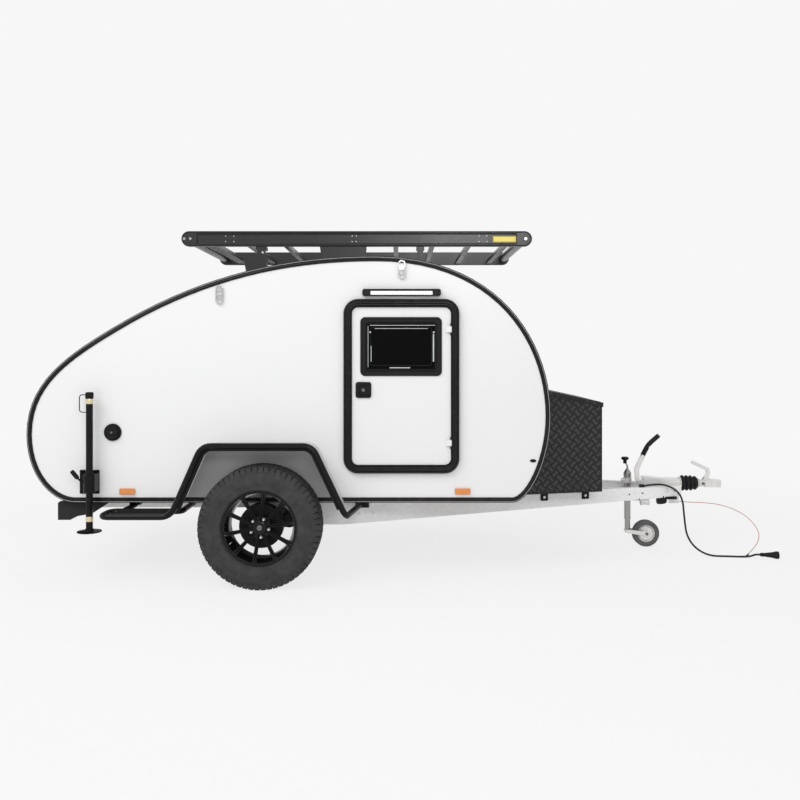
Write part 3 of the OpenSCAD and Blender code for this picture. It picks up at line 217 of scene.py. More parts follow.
def zinc():
    """Hot-dip galvanised steel: spangles that differ in tone and gloss, with a cloudy bloom."""
    f = Finish("galvanised", grey(0.90), 0.45, 0.05)
    tone = f.cells(55, where=f.stretched((1, 1, 1.15)), output="Color")
    level = f.add("ShaderNodeSeparateColor", {}, {0: tone})
    bloom = f.noise(7, 5, 0.6)
    shade = (level * 0.6 + bloom * 0.4).ramp(0.15, 0.85)
    f.set(Base_Color=f.mix(shade, (0.86, 0.865, 0.87, 1), (0.93, 0.93, 0.93, 1)))
    f.set(Roughness=level * 0.22 + (bloom * 0.2 + 0.28))
    return f.bump(level * 0.5 + f.noise(130, 3), 0.0003, 0.35)


def casting(name, level, rough=0.42, metallic=0.85, tint=(1.0, 0.99, 0.97)):
    """Bare or plated metal, faintly pitted."""
    f = Finish(name, grey(level), rough, metallic)
    dark, light = ((*(level * share * t for t in tint), 1) for share in (0.88, 1.06))
    f.clouded(f.noise(11, 3), dark, light, rough - 0.1, 0.2)
    return f.bump(f.noise(210, 4, 0.65), 0.0004, 0.4)


def chrome():
    f = Finish("chrome", grey(0.58), 0.1, 1.0)
    f.set(Roughness=f.noise(30, 2) * 0.14 + 0.04)
    return f.bump(f.noise(60, 2), 0.0002, 0.15)


def rubber(name, level, fine=420.0, rough=0.72):
    """Moulded rubber, dusty in its texture."""
    f = Finish(name, grey(level), rough, Specular_IOR_Level=0.25)
    dust = f.noise(14, 5, 0.65)
    f.set(Base_Color=f.mix(dust.ramp(0.3, 0.75), grey(level * 0.8), grey(level * 1.5)))
    f.set(Roughness=dust * 0.2 + (rough - 0.1))
    return f.bump(f.noise(fine, 3) + f.noise(40, 2) * 0.5, 0.0004, 0.4)


def moulded(name, level, rough):
    """Grained black plastic."""
    f = Finish(name, grey(level), rough, Specular_IOR_Level=0.14)
    f.clouded(f.noise(8, 3), grey(level * 0.85), grey(level * 1.3), rough - 0.07, 0.15)
    return f.bump(f.cells(900), 0.00025, 0.6)


def birch():
    """Birch plywood: long figure on the faces."""
    f = Finish("birch", (0.62, 0.46, 0.28), 0.5)
    figure = f.noise(9, 5, 0.6, f.stretched((1.0, 7.0, 7.0)))
    rings = (figure * 22).wave() * 0.5 + 0.5
    tone = f.mix(rings, (0.56, 0.40, 0.235, 1), (0.72, 0.56, 0.37, 1))
    f.set(Base_Color=f.mix(f.noise(2.5, 3), tone, (0.66, 0.51, 0.33, 1)), Roughness=rings * 0.12 + 0.42)
    return f.bump(f.noise(90, 3, 0.6, f.stretched((1, 14, 14))), 0.0003, 0.3)


def coated_board():
    """Brown film-faced floor board with a fine mesh print."""
    f = Finish("film_board", (0.16, 0.11, 0.075), 0.45)
    f.clouded(f.noise(4, 4), (0.12, 0.082, 0.055, 1), (0.19, 0.135, 0.095, 1), 0.36, 0.2)
    return f.bump(f.cells(230, "DISTANCE_TO_EDGE").ramp(0, 0.12), 0.0003, 0.5)


def tinted_pane():
    """Nearly black acrylic that lets a trace of light through."""
    f = Finish("tinted_acrylic", (0.002, 0.002, 0.002), 0.05, Specular_IOR_Level=0.05)
    haze = f.noise(3, 2)
    f.clouded(haze, (0.0015, 0.0015, 0.0015, 1), (0.003, 0.003, 0.003, 1), 0.05, 0.05)
    return f.set(Alpha=haze * 0.02 + 0.96)


def lens(name, deep, bright, glow=0.0):
    """Moulded lamp lens with prisms behind a clear face."""
    f = Finish(name, bright, 0.2, Coat_Roughness=0.03, Coat_Weight=0.8)
    x, y, z = f.axes()
    prisms = ((x + y) * 900).wave() * ((z * 900).wave()) * 0.5 + 0.5
    tone = f.mix(prisms * 0.6 + f.noise(26, 2) * 0.4, deep, bright)
    f.set(Base_Color=tone, Roughness=prisms * 0.15 + 0.15)
    if glow:
        f.set(Emission_Color=tone, Emission_Strength=glow)
    return f.bump(prisms, 0.0004, 0.4)


def sheet_metal(name, level):
    """Plain painted sheet with a rolled grain."""
    f = Finish(name, grey(level), 0.42, 0.1)
    grain = f.noise(40, 3, 0.6, f.stretched((1, 12, 12)))
    f.set(Base_Color=f.mix(f.noise(3, 4), grey(level * 0.88), grey(level * 1.08)))
    f.set(Roughness=grain * 0.2 + 0.32)
    return f.bump(grain, 0.0002, 0.25)


def coloured_plastic(name, colour, rough=0.35):
    f = Finish(name, colour, rough)
    dark = tuple(c * 0.85 for c in colour) + (1,)
    f.clouded(f.noise(20, 3), dark, (*colour, 1), rough - 0.07, 0.15)
    return f.bump(f.noise(500, 2), 0.0002, 0.4)


ENAMEL = enamel()
DOOR = door_enamel()
TRIM = gloss_black("trim_black", 0.009, 0.26)
POWDER = satin_black("powder_black", 0.006, 0.24, 320, 0.00003, 0.15)
RACK = satin_black("rack_black", 0.006, 0.3, 420, 0.00001, 0.5)
PLATE = satin_black("plate_black", 0.018, 0.36, 260, 0.0002, 0.2)
# Mid grey for the raised bars of the black checker plate: a painted highlight on their tops, since bars and
# plate are one black metal.
CHECKER_HIGHLIGHT = satin_black("checker_bars_painted_highlight", 0.11, 0.30, 260, 0.0002, 0.6)
BOARD = coated_board()
BIRCH = birch()
PANE = tinted_pane()
# Pale plastic for the painted reflections on the window panes, and for the panes' real knobs.
PANE_GLINT_AND_KNOB = coloured_plastic("pane_glint_and_knob", (0.62, 0.66, 0.66), 0.2)
LOCK = moulded("lock_black", 0.010, 0.4)
HOUSING = moulded("lamp_housing", 0.014, 0.45)
ZINC = zinc()
AXLE = satin_black("axle_black", 0.05, 0.5, 180)
FENDER = sheet_metal("fender_sheet", 0.62)
# Mid grey for a panel inside each wheel arch: painted shade that stands for the fender's shadow on the white
# wall.
ARCH_SHADE = sheet_metal("arch_painted_shade", 0.38)
RUBBER = rubber("black_rubber", 0.011)
CAST = casting("plated_casting", 0.74, 0.36)
TUBE_STEEL = casting("tube_steel", 0.34, 0.24, 1.0)
STEEL = casting("bright_steel", 0.68, 0.3)
DARK_STEEL = casting("dark_steel", 0.16, 0.38)
BUMPER = moulded("bumper_grain", 0.022, 0.6)
RED = lens("red_lens", (0.22, 0.004, 0.004, 1), (0.62, 0.02, 0.015, 1))
AMBER = lens("amber_lens", (0.62, 0.17, 0.015, 1), (0.85, 0.33, 0.06, 1))
CLEAR = lens("clear_lens", (0.80, 0.80, 0.80, 1), (0.95, 0.95, 0.95, 1), 0.35)
CHROME = chrome()
CABLE = rubber("cable_sheath", 0.014, 900, 0.5)
RED_ROPE = coloured_plastic("coated_rope", (0.50, 0.17, 0.10))
SEAM = coloured_plastic("edge_seam", (0.42, 0.42, 0.42), 0.4)
TYRE = rubber("tyre_rubber", 0.038, 300, 0.78)
RIM = gloss_black("rim_black", 0.006, 0.16)
DRUM = casting("drum_iron", 0.014, 0.5)
GREY_RUBBER = rubber("grey_rubber", 0.11, 380, 0.7)
BRASS = casting("gold_band", 0.72, 0.3, 0.5, (1.0, 0.88, 0.58))
YELLOW = coloured_plastic("yellow_plate", (0.85, 0.68, 0.10), 0.3)
WHITE_PLATE = coloured_plastic("plate_white", (0.78, 0.78, 0.76), 0.35)


# ---------- Meshes ----------


def shaded(data, smooth):
    """Smooth shading, with the edges sharper than the angle left sharp."""
    for polygon in data.polygons:
        polygon.use_smooth = True
        polygon.material_index = 0
    data.set_sharp_from_angle(angle=math.radians(smooth))
    return data


def keep(name, data, finish, body, replaces=(), smooth=35.0):
    """Puts a finished mesh in the scene as one piece on its body."""
    data.materials.clear()
    data.materials.append(finish.material)
    if not data.has_custom_normals:
        shaded(data, smooth)
    piece = in_scene(name, data)
    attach(piece, body)
    if replaces:
        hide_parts(*replaces)
    return piece


def from_bmesh(bm, name):
    bmesh.ops.remove_doubles(bm, verts=bm.verts, dist=1e-5)
    bmesh.ops.recalc_face_normals(bm, faces=bm.faces)
    data = bpy.data.meshes.new(name)
    bm.to_mesh(data)
    bm.free()
    return data


def settled(piece, name):
    """What the object's modifiers make of it, as a plain mesh in its place."""
    graph = bpy.context.evaluated_depsgraph_get()
    data = bpy.data.meshes.new_from_object(piece.evaluated_get(graph))
    bpy.data.objects.remove(piece)
    data.name = name
    return data


def modified(name, data, kind, **settings):
    piece = in_scene(name, data)
    modifier = piece.modifiers.new(kind, kind)
    for key, value in settings.items():
        setattr(modifier, key, value)
    return settled(piece, name)


def bevelled(name, data, width):
    """Rounds the sharp edges; the flat faces stay flat in the light."""
    limit = math.radians(32)
    rounded = modified(name, data, "BEVEL", width=width, segments=2, limit_method="ANGLE", angle_limit=limit)
    weighting = {"mode": "FACE_AREA", "weight": 100, "keep_sharp": True}
    return modified(name, shaded(rounded, 40), "WEIGHTED_NORMAL", **weighting)


BODY_OF = {n: body for body, nodes in frame["record"]["behaviour"]["bodies"].items() for n in nodes}


def node_mesh(node):
    """A merged copy of a CAD node's mesh, its flat faces whole."""
    bm = bmesh.new()
    bm.from_mesh(frame["nodes"][node].data)
    bmesh.ops.remove_doubles(bm, verts=bm.verts, dist=1e-5)
    bmesh.ops.dissolve_limit(bm, angle_limit=math.radians(0.4), verts=bm.verts, edges=bm.edges)
    data = bpy.data.meshes.new(node)
    bm.to_mesh(data)
    bm.free()
    return data


def dress(node, finish, edge):
    """A copy of a CAD node with rounded edges and smooth shading stands for it."""
    data = node_mesh(node)
    if edge:
        data = bevelled(node, data, edge)
    keep(node + ".dressed", data, finish, BODY_OF[node], [node])


# Each node's finish and the width of its rounded edges.
DRESSED = {
    "side_wall_right": (ENAMEL, 0.001), "side_wall_left": (ENAMEL, 0.001),
    "edge_trims": (TRIM, 0.0022), "roof_shell": (ENAMEL, 0.002), "cabin_floor": (BOARD, 0.001),
    "galley_bulkhead": (BIRCH, 0.001), "galley_cabinet": (BIRCH, 0.001), "door_frames": (TRIM, 0.004),
    "awning_lights": (HOUSING, 0.006), "drawbar_right": (ZINC, 0.0015), "drawbar_left": (ZINC, 0.0015),
    "rear_frame": (ZINC, 0.001), "axle_beam": (AXLE, 0.006), "trailing_arms": (AXLE, 0.004),
    "fenders": (FENDER, 0.0008), "fender_tubes": (POWDER, 0), "front_box": (PLATE, 0.0012),
    "rack_frame": (RACK, 0.003), "rack_slats": (RACK, 0.002),
    "rack_feet": (RACK, 0.002), "stand_clamps": (POWDER, 0.002), "jockey_clamp": (CAST, 0.002),
    "overrun_housing": (CAST, 0.004), "coupling_head": (CAST, 0.003), "rear_bumper": (BUMPER, 0.008),
    "tail_lamps": (RED, 0.005), "marker_lamps": (AMBER, 0.003), "tie_loops": (CHROME, 0.0025),
    "filler_cap": (LOCK, 0.0025), "brake_rod": (STEEL, 0.001), "breakaway_clip": (CHROME, 0.001),
    "rear_hatch": (ENAMEL, 0.002), "door_right": (DOOR, 0.002), "door_left": (DOOR, 0.002),
    "window_frame_right": (LOCK, 0.003), "window_frame_left": (LOCK, 0.003),
    "window_glass_right": (PANE, 0.001), "window_glass_left": (PANE, 0.001),
    "door_lock_right": (LOCK, 0.003), "door_lock_left": (LOCK, 0.003), "box_lid": (PLATE, 0.001),
    "brake_drum_right": (DRUM, 0.002), "brake_drum_left": (DRUM, 0.002),
    "jockey_tube": (TUBE_STEEL, 0.0015), "jockey_leg": (TUBE_STEEL, 0.001), "jockey_fork": (CAST, 0.001),
    "coupling_handle": (CAST, 0.002), "handbrake_lever": (CAST, 0.002),
}
for dressed_node, look in DRESSED.items():
    dress(dressed_node, *look)


# ---------- Shapes ----------


def facing(centre, out, up=(0, 0, 1)):
    """A frame at centre whose z points along out and whose y points up."""
    z = Vector(out).normalized()
    y = Vector(up) - Vector(up).dot(z) * z
    y.normalize()
    matrix = Matrix((y.cross(z), y, z)).transposed().to_4x4()
    matrix.translation = Vector(centre)
    return matrix


def on_right(x, z, reach=0.0):
    """A frame that looks out of the right side: x forward, y up, z out from the reach."""
    return facing((x, -reach, z), (0, -1, 0))


def on_side(sign, x, z, reach):
    """A frame that looks out of the right (-1) or left (1) side."""
    return facing((x, sign * reach, z), (0, sign, 0))


FLAT = Matrix.Identity(4)
RIGHT = on_right(0, 0)


def turned(frame_of, angle):
    return frame_of @ Matrix.Rotation(angle, 4, "Z")


def moved(frame_of, x, y, z):
    return frame_of @ Matrix.Translation((x, y, z))


def arc(centre, radius, start, end, steps):
    """Points of a circular arc in a plane; angles in degrees."""
    angles = [math.radians(start + (end - start) * i / steps) for i in range(steps + 1)]
    return [(centre[0] + radius * math.cos(a), centre[1] + radius * math.sin(a)) for a in angles]


def rounded_rectangle(w, h, r, steps=8):
    corners = [((w / 2 - r, h / 2 - r), 0), ((r - w / 2, h / 2 - r), 90)]
    corners += [((r - w / 2, r - h / 2), 180), ((w / 2 - r, r - h / 2), 270)]
    return [p for centre, start in corners for p in arc(centre, r, start, start + 90, steps)]


def offset(path, distance, closed=False):
    """The plane path moved to its left by distance, mitred at its points."""
    result = []
    for i, here in enumerate(path):
        before = path[i - 1] if closed or i else here
        after = path[(i + 1) % len(path)] if closed or i < len(path) - 1 else here
        a, b, c = Vector(before), Vector(here), Vector(after)
        directions = [d.normalized() for d in (b - a, c - b) if d.length > 1e-9]
        normals = [Vector((-d.y, d.x)) for d in directions]
        mid = sum(normals, Vector((0, 0))).normalized()
        result.append(tuple(b + mid * distance / max(0.4, mid.dot(normals[0]))))
    return result


def smooth_path(points, steps):
    """A curve through the points."""
    points = [Vector(p) for p in points]
    last = len(points) - 1
    path = []
    for i in range(last):
        a, b, c, d = points[max(i - 1, 0)], points[i], points[i + 1], points[min(i + 2, last)]
        for k in range(steps):
            t = k / steps
            bend = (2 * a - 5 * b + 4 * c - d) * t * t + (3 * b - a - 3 * c + d) * t**3
            path.append(0.5 * (2 * b + (c - a) * t + bend))
    return path + [points[-1]]


def bent_line(points, radius, steps=8):
    """A plane line through the points with its inner corners rounded."""
    path = [points[0]]
    for a, b, c in zip(points, points[1:], points[2:]):
        a, b, c = Vector(a), Vector(b), Vector(c)
        back, ahead = (a - b).normalized(), (c - b).normalized()
        half = back.angle(ahead) / 2
        reach = radius / math.tan(half)
        centre = b + (back + ahead).normalized() * radius / math.sin(half)
        start, end = b + back * reach - centre, b + ahead * reach - centre
        path += [tuple(centre + start.slerp(end, i / steps).normalized() * radius) for i in range(steps + 1)]
    return path + [points[-1]]


class Shape:
    """Gathers the surfaces of one piece."""

    def __init__(self):
        self.bm = bmesh.new()

    def skin(self, rings, closed=False):
        """Joins rings of as many points each with faces, and caps the ends of an open row."""
        rows = [[self.bm.verts.new(p) for p in ring] for ring in rings]
        count = len(rows[0])
        pairs = list(zip(rows, rows[1:])) + ([(rows[-1], rows[0])] if closed else [])
        for first, second in pairs:
            for i in range(count):
                j = (i + 1) % count
                self.bm.faces.new((first[i], first[j], second[j], second[i]))
        if not closed:
            self.bm.faces.new(rows[0][::-1])
            self.bm.faces.new(rows[-1])
        return self

    def lathe(self, section, frame_of, steps=48, closed=False, turn=0.0):
        """Turns (radius, height) points round the frame's z."""
        angles = [math.radians(turn) + math.tau * i / steps for i in range(steps)]
        rings = []
        for radius, height in section:
            ring = [(radius * math.cos(a), radius * math.sin(a), height) for a in angles]
            rings.append([frame_of @ Vector(p) for p in ring])
        return self.skin(rings, closed)

    def tube(self, path, radius, sides=16, closed=False):
        """A round bar along a path; radius is a number, or one for each point."""
        path = [Vector(p) for p in path]
        radii = radius if isinstance(radius, list) else [radius] * len(path)
        angles = [math.tau * k / sides for k in range(sides)]
        across = None
        rings = []
        for i, place in enumerate(path):
            after = path[(i + 1) % len(path)] if closed or i < len(path) - 1 else place
            before = path[i - 1] if closed or i else place
            ahead = (after - before).normalized()
            if across is None:
                across = ahead.orthogonal()
            across = (across - across.dot(ahead) * ahead).normalized()
            third = ahead.cross(across)
            rings.append([place + radii[i] * (math.cos(a) * across + math.sin(a) * third) for a in angles])
        return self.skin(rings, closed)

    def prism(self, outline, frame_of, depth, start=0.0):
        rings = [[frame_of @ Vector((x, y, z)) for x, y in outline] for z in (start, start + depth)]
        return self.skin(rings)

    def block(self, low, high, frame_of=FLAT):
        corners = [(low[0], low[1]), (high[0], low[1]), (high[0], high[1]), (low[0], high[1])]
        return self.prism(corners, frame_of, high[2] - low[2], low[2])

    def knurls(self, count, low, high, frame_of):
        """The same block again and again, evenly round the frame's z."""
        for k in range(count):
            self.block(low, high, turned(frame_of, math.tau * k / count))
        return self

    def loop(self, w, h, r, width, rise, frame_of):
        """Runs a half-round bead along a rounded rectangle."""
        path = rounded_rectangle(w, h, r)
        section = [(width / 2 * math.cos(a), rise * math.sin(a)) for a in (math.pi * i / 6 for i in range(7))]
        lines = [(offset(path, -out, True), height) for out, height in section]
        rings = [[frame_of @ Vector((*line[i], height)) for line, height in lines] for i in range(len(path))]
        return self.skin(rings, closed=True)

    def hexagon(self, frame_of, radius, height):
        """A bolt head with a rounded top."""
        return self.lathe([(radius, 0), (radius, height * 0.75), (radius * 0.82, height)], frame_of, 6)

    def both_sides(self):
        """Adds the mirror image across the middle of the trailer."""
        copy = bmesh.ops.duplicate(self.bm, geom=self.bm.verts[:] + self.bm.edges[:] + self.bm.faces[:])
        for vertex in copy["geom"]:
            if isinstance(vertex, bmesh.types.BMVert):
                vertex.co.y = -vertex.co.y
        return self

    def mesh(self, name, bevel=0.0):
        data = from_bmesh(self.bm, name)
        return bevelled(name, data, bevel) if bevel else data

    def place(self, name, finish, body, slot, bevel=0.0, replaces=(), smooth=35.0):
        return keep(name, self.mesh(name, bevel), finish, body, replaces, smooth)


# ---------- Repeats grown by nodes ----------


def node_group(name, sockets):
    """A node tree that takes a mesh and the named sockets, with each socket's identifier."""
    tree = bpy.data.node_groups.new(name, "GeometryNodeTree")
    tree.interface.new_socket("Geometry", in_out="INPUT", socket_type="NodeSocketGeometry")
    keys = {}
    for socket, kind in sockets.items():
        keys[socket] = tree.interface.new_socket(socket, in_out="INPUT", socket_type=kind).identifier
    tree.interface.new_socket("Geometry", in_out="OUTPUT", socket_type="NodeSocketGeometry")
    return tree, keys, add_node(tree, "NodeGroupInput").outputs


def finish_group(tree, given, points, instance, euler):
    """Ends a tree: the instance on each point, turned, made real and given its finish."""
    rotation = add_node(tree, "FunctionNodeEulerToRotation", {}, {"Euler": euler})
    links = {"Points": points, "Instance": instance, "Rotation": rotation.outputs[0]}
    placed = add_node(tree, "GeometryNodeInstanceOnPoints", {}, links)
    real = add_node(tree, "GeometryNodeRealizeInstances", {}, {"Geometry": placed.outputs[0]})
    links = {"Geometry": real.outputs[0], "Material": given["Finish"]}
    coated = add_node(tree, "GeometryNodeSetMaterial", {}, links)
    add_node(tree, "NodeGroupOutput", {}, {0: coated.outputs[0]})


def ring_tree():
    """Copies of the modified mesh, evenly spaced round the z axis."""
    sockets = {"Count": "NodeSocketInt", "Phase": "NodeSocketFloat", "Finish": "NodeSocketMaterial"}
    tree, keys, given = node_group("ring_of_copies", sockets)
    points = add_node(tree, "GeometryNodePoints", {}, {"Count": given["Count"]})
    step = add_node(tree, "ShaderNodeMath", {"operation": "DIVIDE"}, {0: math.tau, 1: given["Count"]})
    index = add_node(tree, "GeometryNodeInputIndex")
    links = {0: index.outputs[0], 1: step.outputs[0], 2: given["Phase"]}
    turn = add_node(tree, "ShaderNodeMath", {"operation": "MULTIPLY_ADD"}, links)
    euler = add_node(tree, "ShaderNodeCombineXYZ", {}, {"Z": turn.outputs[0]})
    finish_group(tree, given, points.outputs[0], given["Geometry"], euler.outputs[0])
    return tree, keys


def places_tree():
    """The element object copied to each point, turned by the point's own attribute."""
    sockets = {"Element": "NodeSocketObject", "Finish": "NodeSocketMaterial"}
    tree, keys, given = node_group("copies_at_places", sockets)
    element = add_node(tree, "GeometryNodeObjectInfo", {}, {"Object": given["Element"]})
    settings = {"data_type": "FLOAT_VECTOR"}
    turn = add_node(tree, "GeometryNodeInputNamedAttribute", settings, {"Name": "turn"})
    finish_group(tree, given, given["Geometry"], element.outputs["Geometry"], turn.outputs[0])
    return tree, keys


RING = ring_tree()
PLACES = places_tree()


def grown(name, data, tree_and_keys, **values):
    """The plain mesh that a node tree makes from the given mesh."""
    tree, keys = tree_and_keys
    piece = in_scene(name, data)
    modifier = piece.modifiers.new("grow", "NODES")
    modifier.node_group = tree
    for key, value in values.items():
        modifier[keys[key]] = value
    return settled(piece, name)


def copies(name, element, frames, finish):
    """One mesh of the element at each frame."""
    holder = in_scene(name + "_element", element)
    points = bpy.data.meshes.new(name + "_points")
    points.from_pydata([m.translation for m in frames], [], [])
    turns = points.attributes.new("turn", "FLOAT_VECTOR", "POINT")
    turns.data.foreach_set("vector", [angle for m in frames for angle in m.to_euler()])
    data = grown(name, points, PLACES, Element=holder, Finish=finish.material)
    bpy.data.objects.remove(holder)
    return data


def ring(name, element, count, finish, frame_of, phase=0.0):
    """One mesh of copies of the element round the frame's z axis."""
    data = grown(name, element, RING, Count=count, Phase=phase, Finish=finish.material)
    data.transform(frame_of)
    return data


def joined(name, meshes):
    bm = bmesh.new()
    for data in meshes:
        bm.from_mesh(data)
    return from_bmesh(bm, name)


def middle(node):
    low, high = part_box(node)
    return (low + high) / 2


SURFACES = {}


def struck(node, origin, direction):
    """Where a straight line from origin first meets a CAD node, and the surface's direction there."""
    if node not in SURFACES:
        bm = bmesh.new()
        bm.from_mesh(frame["nodes"][node].data)
        SURFACES[node] = BVHTree.FromBMesh(bm)
        bm.free()
    return SURFACES[node].ray_cast(Vector(origin), Vector(direction).normalized())[:2]


# Height of the body's underside, and half its width over the walls.
RIDE = 0.448
HALF_W = 0.79


# ---------- Wheels ----------


def tyre_section():
    """Half of the tyre's outside, from its bead to the middle of the tread, then its inside."""
    half = [(0.1925, 0.083), (0.2085, 0.087), (0.2135, 0.0925), (0.2155, 0.0975), (0.219, 0.0985)]
    half += [(0.222, 0.0975), (0.235, 0.1008), (0.2485, 0.1028), (0.2500, 0.1042), (0.2525, 0.1042)]
    half += [(0.254, 0.103), (0.270, 0.1025), (0.284, 0.1005), (0.286, 0.1018), (0.289, 0.1014)]
    half += [(0.291, 0.0995), (0.304, 0.0965), (0.315, 0.0915), (0.323, 0.0845), (0.3295, 0.074)]
    half += [(0.3315, 0.05), (0.3315, 0.02)]
    inside = [(0.316, 0.055), (0.30, 0.08), (0.24, 0.088), (0.20, 0.074)]
    outline = half + [(r, -w) for r, w in reversed(half)]
    return outline + [(r, -w) for r, w in reversed(inside)] + inside


def tread_block(base, top, along, across, width, skew):
    """One block of the tread, standing on the carcass; its long side runs round the tyre."""
    rings = []
    for r, scale in ((base, 1.0), (top - 0.0012, 0.96), (top, 0.84)):
        corners = [(-along, -width), (along, -width), (along, width), (-along, width)]
        rings.append([(r, a * scale + skew * 0.004 * w / width, across + w * scale) for a, w in corners])
    return Shape().skin(rings).mesh("tread_block")


def shoulder_lug(side):
    """A lug that wraps from the tread's edge down onto the sidewall."""
    rings = []
    for a in (-0.0140, -0.0126, 0.0126, 0.0140):
        low = 0.0012 if abs(a) > 0.013 else 0.0
        points = [(0.326, 0.072), (0.3395 - low, 0.073), (0.3385 - low, 0.082), (0.3305 - low, 0.0885)]
        points += [(0.316, 0.0965 - low), (0.306, 0.0975 - low), (0.306, 0.090)]
        rings.append([(r, a, side * w) for r, w in points])
    return Shape().skin(rings).mesh("shoulder_lug")


def sidewall_rib(side):
    """A thin radial rib that rises a little from the sidewall."""
    half, foot = 0.0011, side * 0.099
    rings = []
    for r, w in ((0.2575, 0.1015), (0.259, 0.1034), (0.279, 0.1022), (0.2805, 0.1000)):
        rings.append([(r, -half, side * w), (r, half, side * w), (r, half, foot), (r, -half, foot)])
    return Shape().skin(rings).mesh("sidewall_rib")


# Each row of tread blocks: its place across the tyre, half its width, and which way it leans.
TREAD_ROWS = [
    (-0.055, 0.012, 1), (-0.0275, 0.0105, -1), (0, 0.0105, 1), (0.0275, 0.0105, -1), (0.055, 0.012, 1),
]
BLOCKS_ROUND, RIBS_ROUND = 62, 150


def make_tyre(side, wheel):
    parts = [Shape().lathe(tyre_section(), wheel, 96, closed=True).mesh("carcass")]
    for row, (across, width, skew) in enumerate(TREAD_ROWS):
        block = tread_block(0.329, 0.340, 0.0148, across, width, skew)
        parts.append(ring("tread_row", block, BLOCKS_ROUND, TYRE, wheel, row * 0.05))
    for face in (-1, 1):
        parts.append(ring("lugs", shoulder_lug(face), BLOCKS_ROUND, TYRE, wheel, 0.02 * face))
        parts.append(ring("ribs", sidewall_rib(face), RIBS_ROUND, TYRE, wheel))
    tyre = joined("tyre", parts)
    keep(f"{side}_tyre_tread", tyre, TYRE, f"{side}_wheel", [f"tyre_{side}"], 30)


RIM_SECTION = [
    (0.1893, -0.0835), (0.2070, -0.0865), (0.2078, -0.080), (0.1935, -0.073), (0.189, -0.05), (0.184, 0.0),
    (0.188, 0.055), (0.1925, 0.074), (0.2078, 0.080), (0.2088, 0.0850), (0.2072, 0.0892), (0.2010, 0.0892),
    (0.1990, 0.0868), (0.1965, 0.0862), (0.1945, 0.0830), (0.1905, 0.0655), (0.1870, 0.052), (0.1795, 0.032),
    (0.1740, -0.005), (0.1735, -0.045), (0.1790, -0.070), (0.1830, -0.0835),
]


def spoke():
    """One ridged spoke that widens where it meets the barrel."""
    rings = []
    for r, half, top, depth in (
        (0.022, 0.0105, 0.0645, 0.026), (0.055, 0.0105, 0.0650, 0.024), (0.085, 0.0104, 0.0690, 0.023),
        (0.125, 0.0110, 0.0755, 0.022), (0.160, 0.0122, 0.0815, 0.022), (0.182, 0.0150, 0.0848, 0.026),
        (0.1935, 0.0200, 0.0850, 0.034),
    ):
        low = top - depth
        points = [(-half, top - 0.005), (-half * 0.70, top), (-half * 0.34, top), (0, top - 0.0042)]
        points += [(half * 0.34, top), (half * 0.70, top), (half, top - 0.005)]
        points += [(half * 0.7, low), (-half * 0.7, low)]
        rings.append([(r, a, z) for a, z in points])
    return Shape().skin(rings).mesh("spoke")


NUTS, NUT_CIRCLE, FIRST_NUT, VALVE = 5, 0.0515, math.radians(-9), math.radians(208)


def make_rim(side, wheel):
    body = f"{side}_wheel"
    shape = Shape().lathe(RIM_SECTION, wheel, 96, closed=True)
    hub = [(0.0172, -0.03), (0.060, -0.03), (0.066, 0.036), (0.0655, 0.0535), (0.061, 0.058), (0.040, 0.0585)]
    hub += [(0.037, 0.0655), (0.0335, 0.067), (0.0322, 0.0655), (0.0215, 0.0668), (0.0205, 0.0655)]
    shape.lathe(hub + [(0.0001, 0.0655), (0.0001, 0.0)], wheel, 60)
    parts = [shape.mesh("rim"), ring("spokes", spoke(), 10, RIM, wheel, math.radians(10))]
    keep(f"{side}_rim_alloy", joined("rim", parts), RIM, body, [f"rim_{side}"], 28)
    nuts = Shape()
    for k in range(NUTS):
        angle = FIRST_NUT + math.tau * k / NUTS
        seat = moved(wheel, NUT_CIRCLE * math.cos(angle), NUT_CIRCLE * math.sin(angle), 0.0575)
        nuts.lathe([(0.0085, 0), (0.0085, 0.0035), (0.0076, 0.0055)], seat, 20)
        nuts.lathe([(0.0072, 0.0045), (0.0072, 0.014), (0.0058, 0.017), (0.0001, 0.0176)], seat, 6)
    valve = moved(turned(wheel, VALVE), 0.184, 0, 0.05)
    stem = [(0.0042, -0.012), (0.0042, 0.012), (0.003, 0.014), (0.003, 0.02), (0.0001, 0.0205)]
    nuts.lathe(stem, valve, 14)
    nuts.place(f"{side}_wheel_nuts", STEEL, body, "cast_silver", smooth=25)
    cap = Shape().lathe([(0.0145, 0.064), (0.0145, 0.0676), (0.0128, 0.0684), (0.0001, 0.0684)], wheel, 32)
    cap.place(f"{side}_hub_badge", DARK_STEEL, body, "cast_silver")


tyre_middle = middle("tyre_right")
for side, sign in SIDES.items():
    wheel_frame = facing((tyre_middle.x, sign * abs(tyre_middle.y), tyre_middle.z), (0, sign, 0))
    make_tyre(side, wheel_frame)
    make_rim(side, wheel_frame)


# ---------- Fenders ----------


# The fender's top in height, its front and rear corners in x, how far its legs spread by
# the time they have dropped by the slope's height, and the bend's radius.
FENDER_TOP, FENDER_FRONT, FENDER_REAR = 0.794, -0.481, -1.085
SLOPE_HEIGHT, FRONT_SPREAD, REAR_SPREAD, FENDER_BEND = 0.368, 0.1755, 0.1615, 0.078


def fender_line(foot_z):
    """The middle of the fender's tube in x and z, from one leg at foot_z over the top to the other."""
    share = (FENDER_TOP - foot_z) / SLOPE_HEIGHT
    front, rear = (FENDER_FRONT, FENDER_TOP), (FENDER_REAR, FENDER_TOP)
    front_foot = (FENDER_FRONT + FRONT_SPREAD * share, foot_z)
    rear_foot = (FENDER_REAR - REAR_SPREAD * share, foot_z)
    return bent_line([front_foot, front, rear, rear_foot], FENDER_BEND)


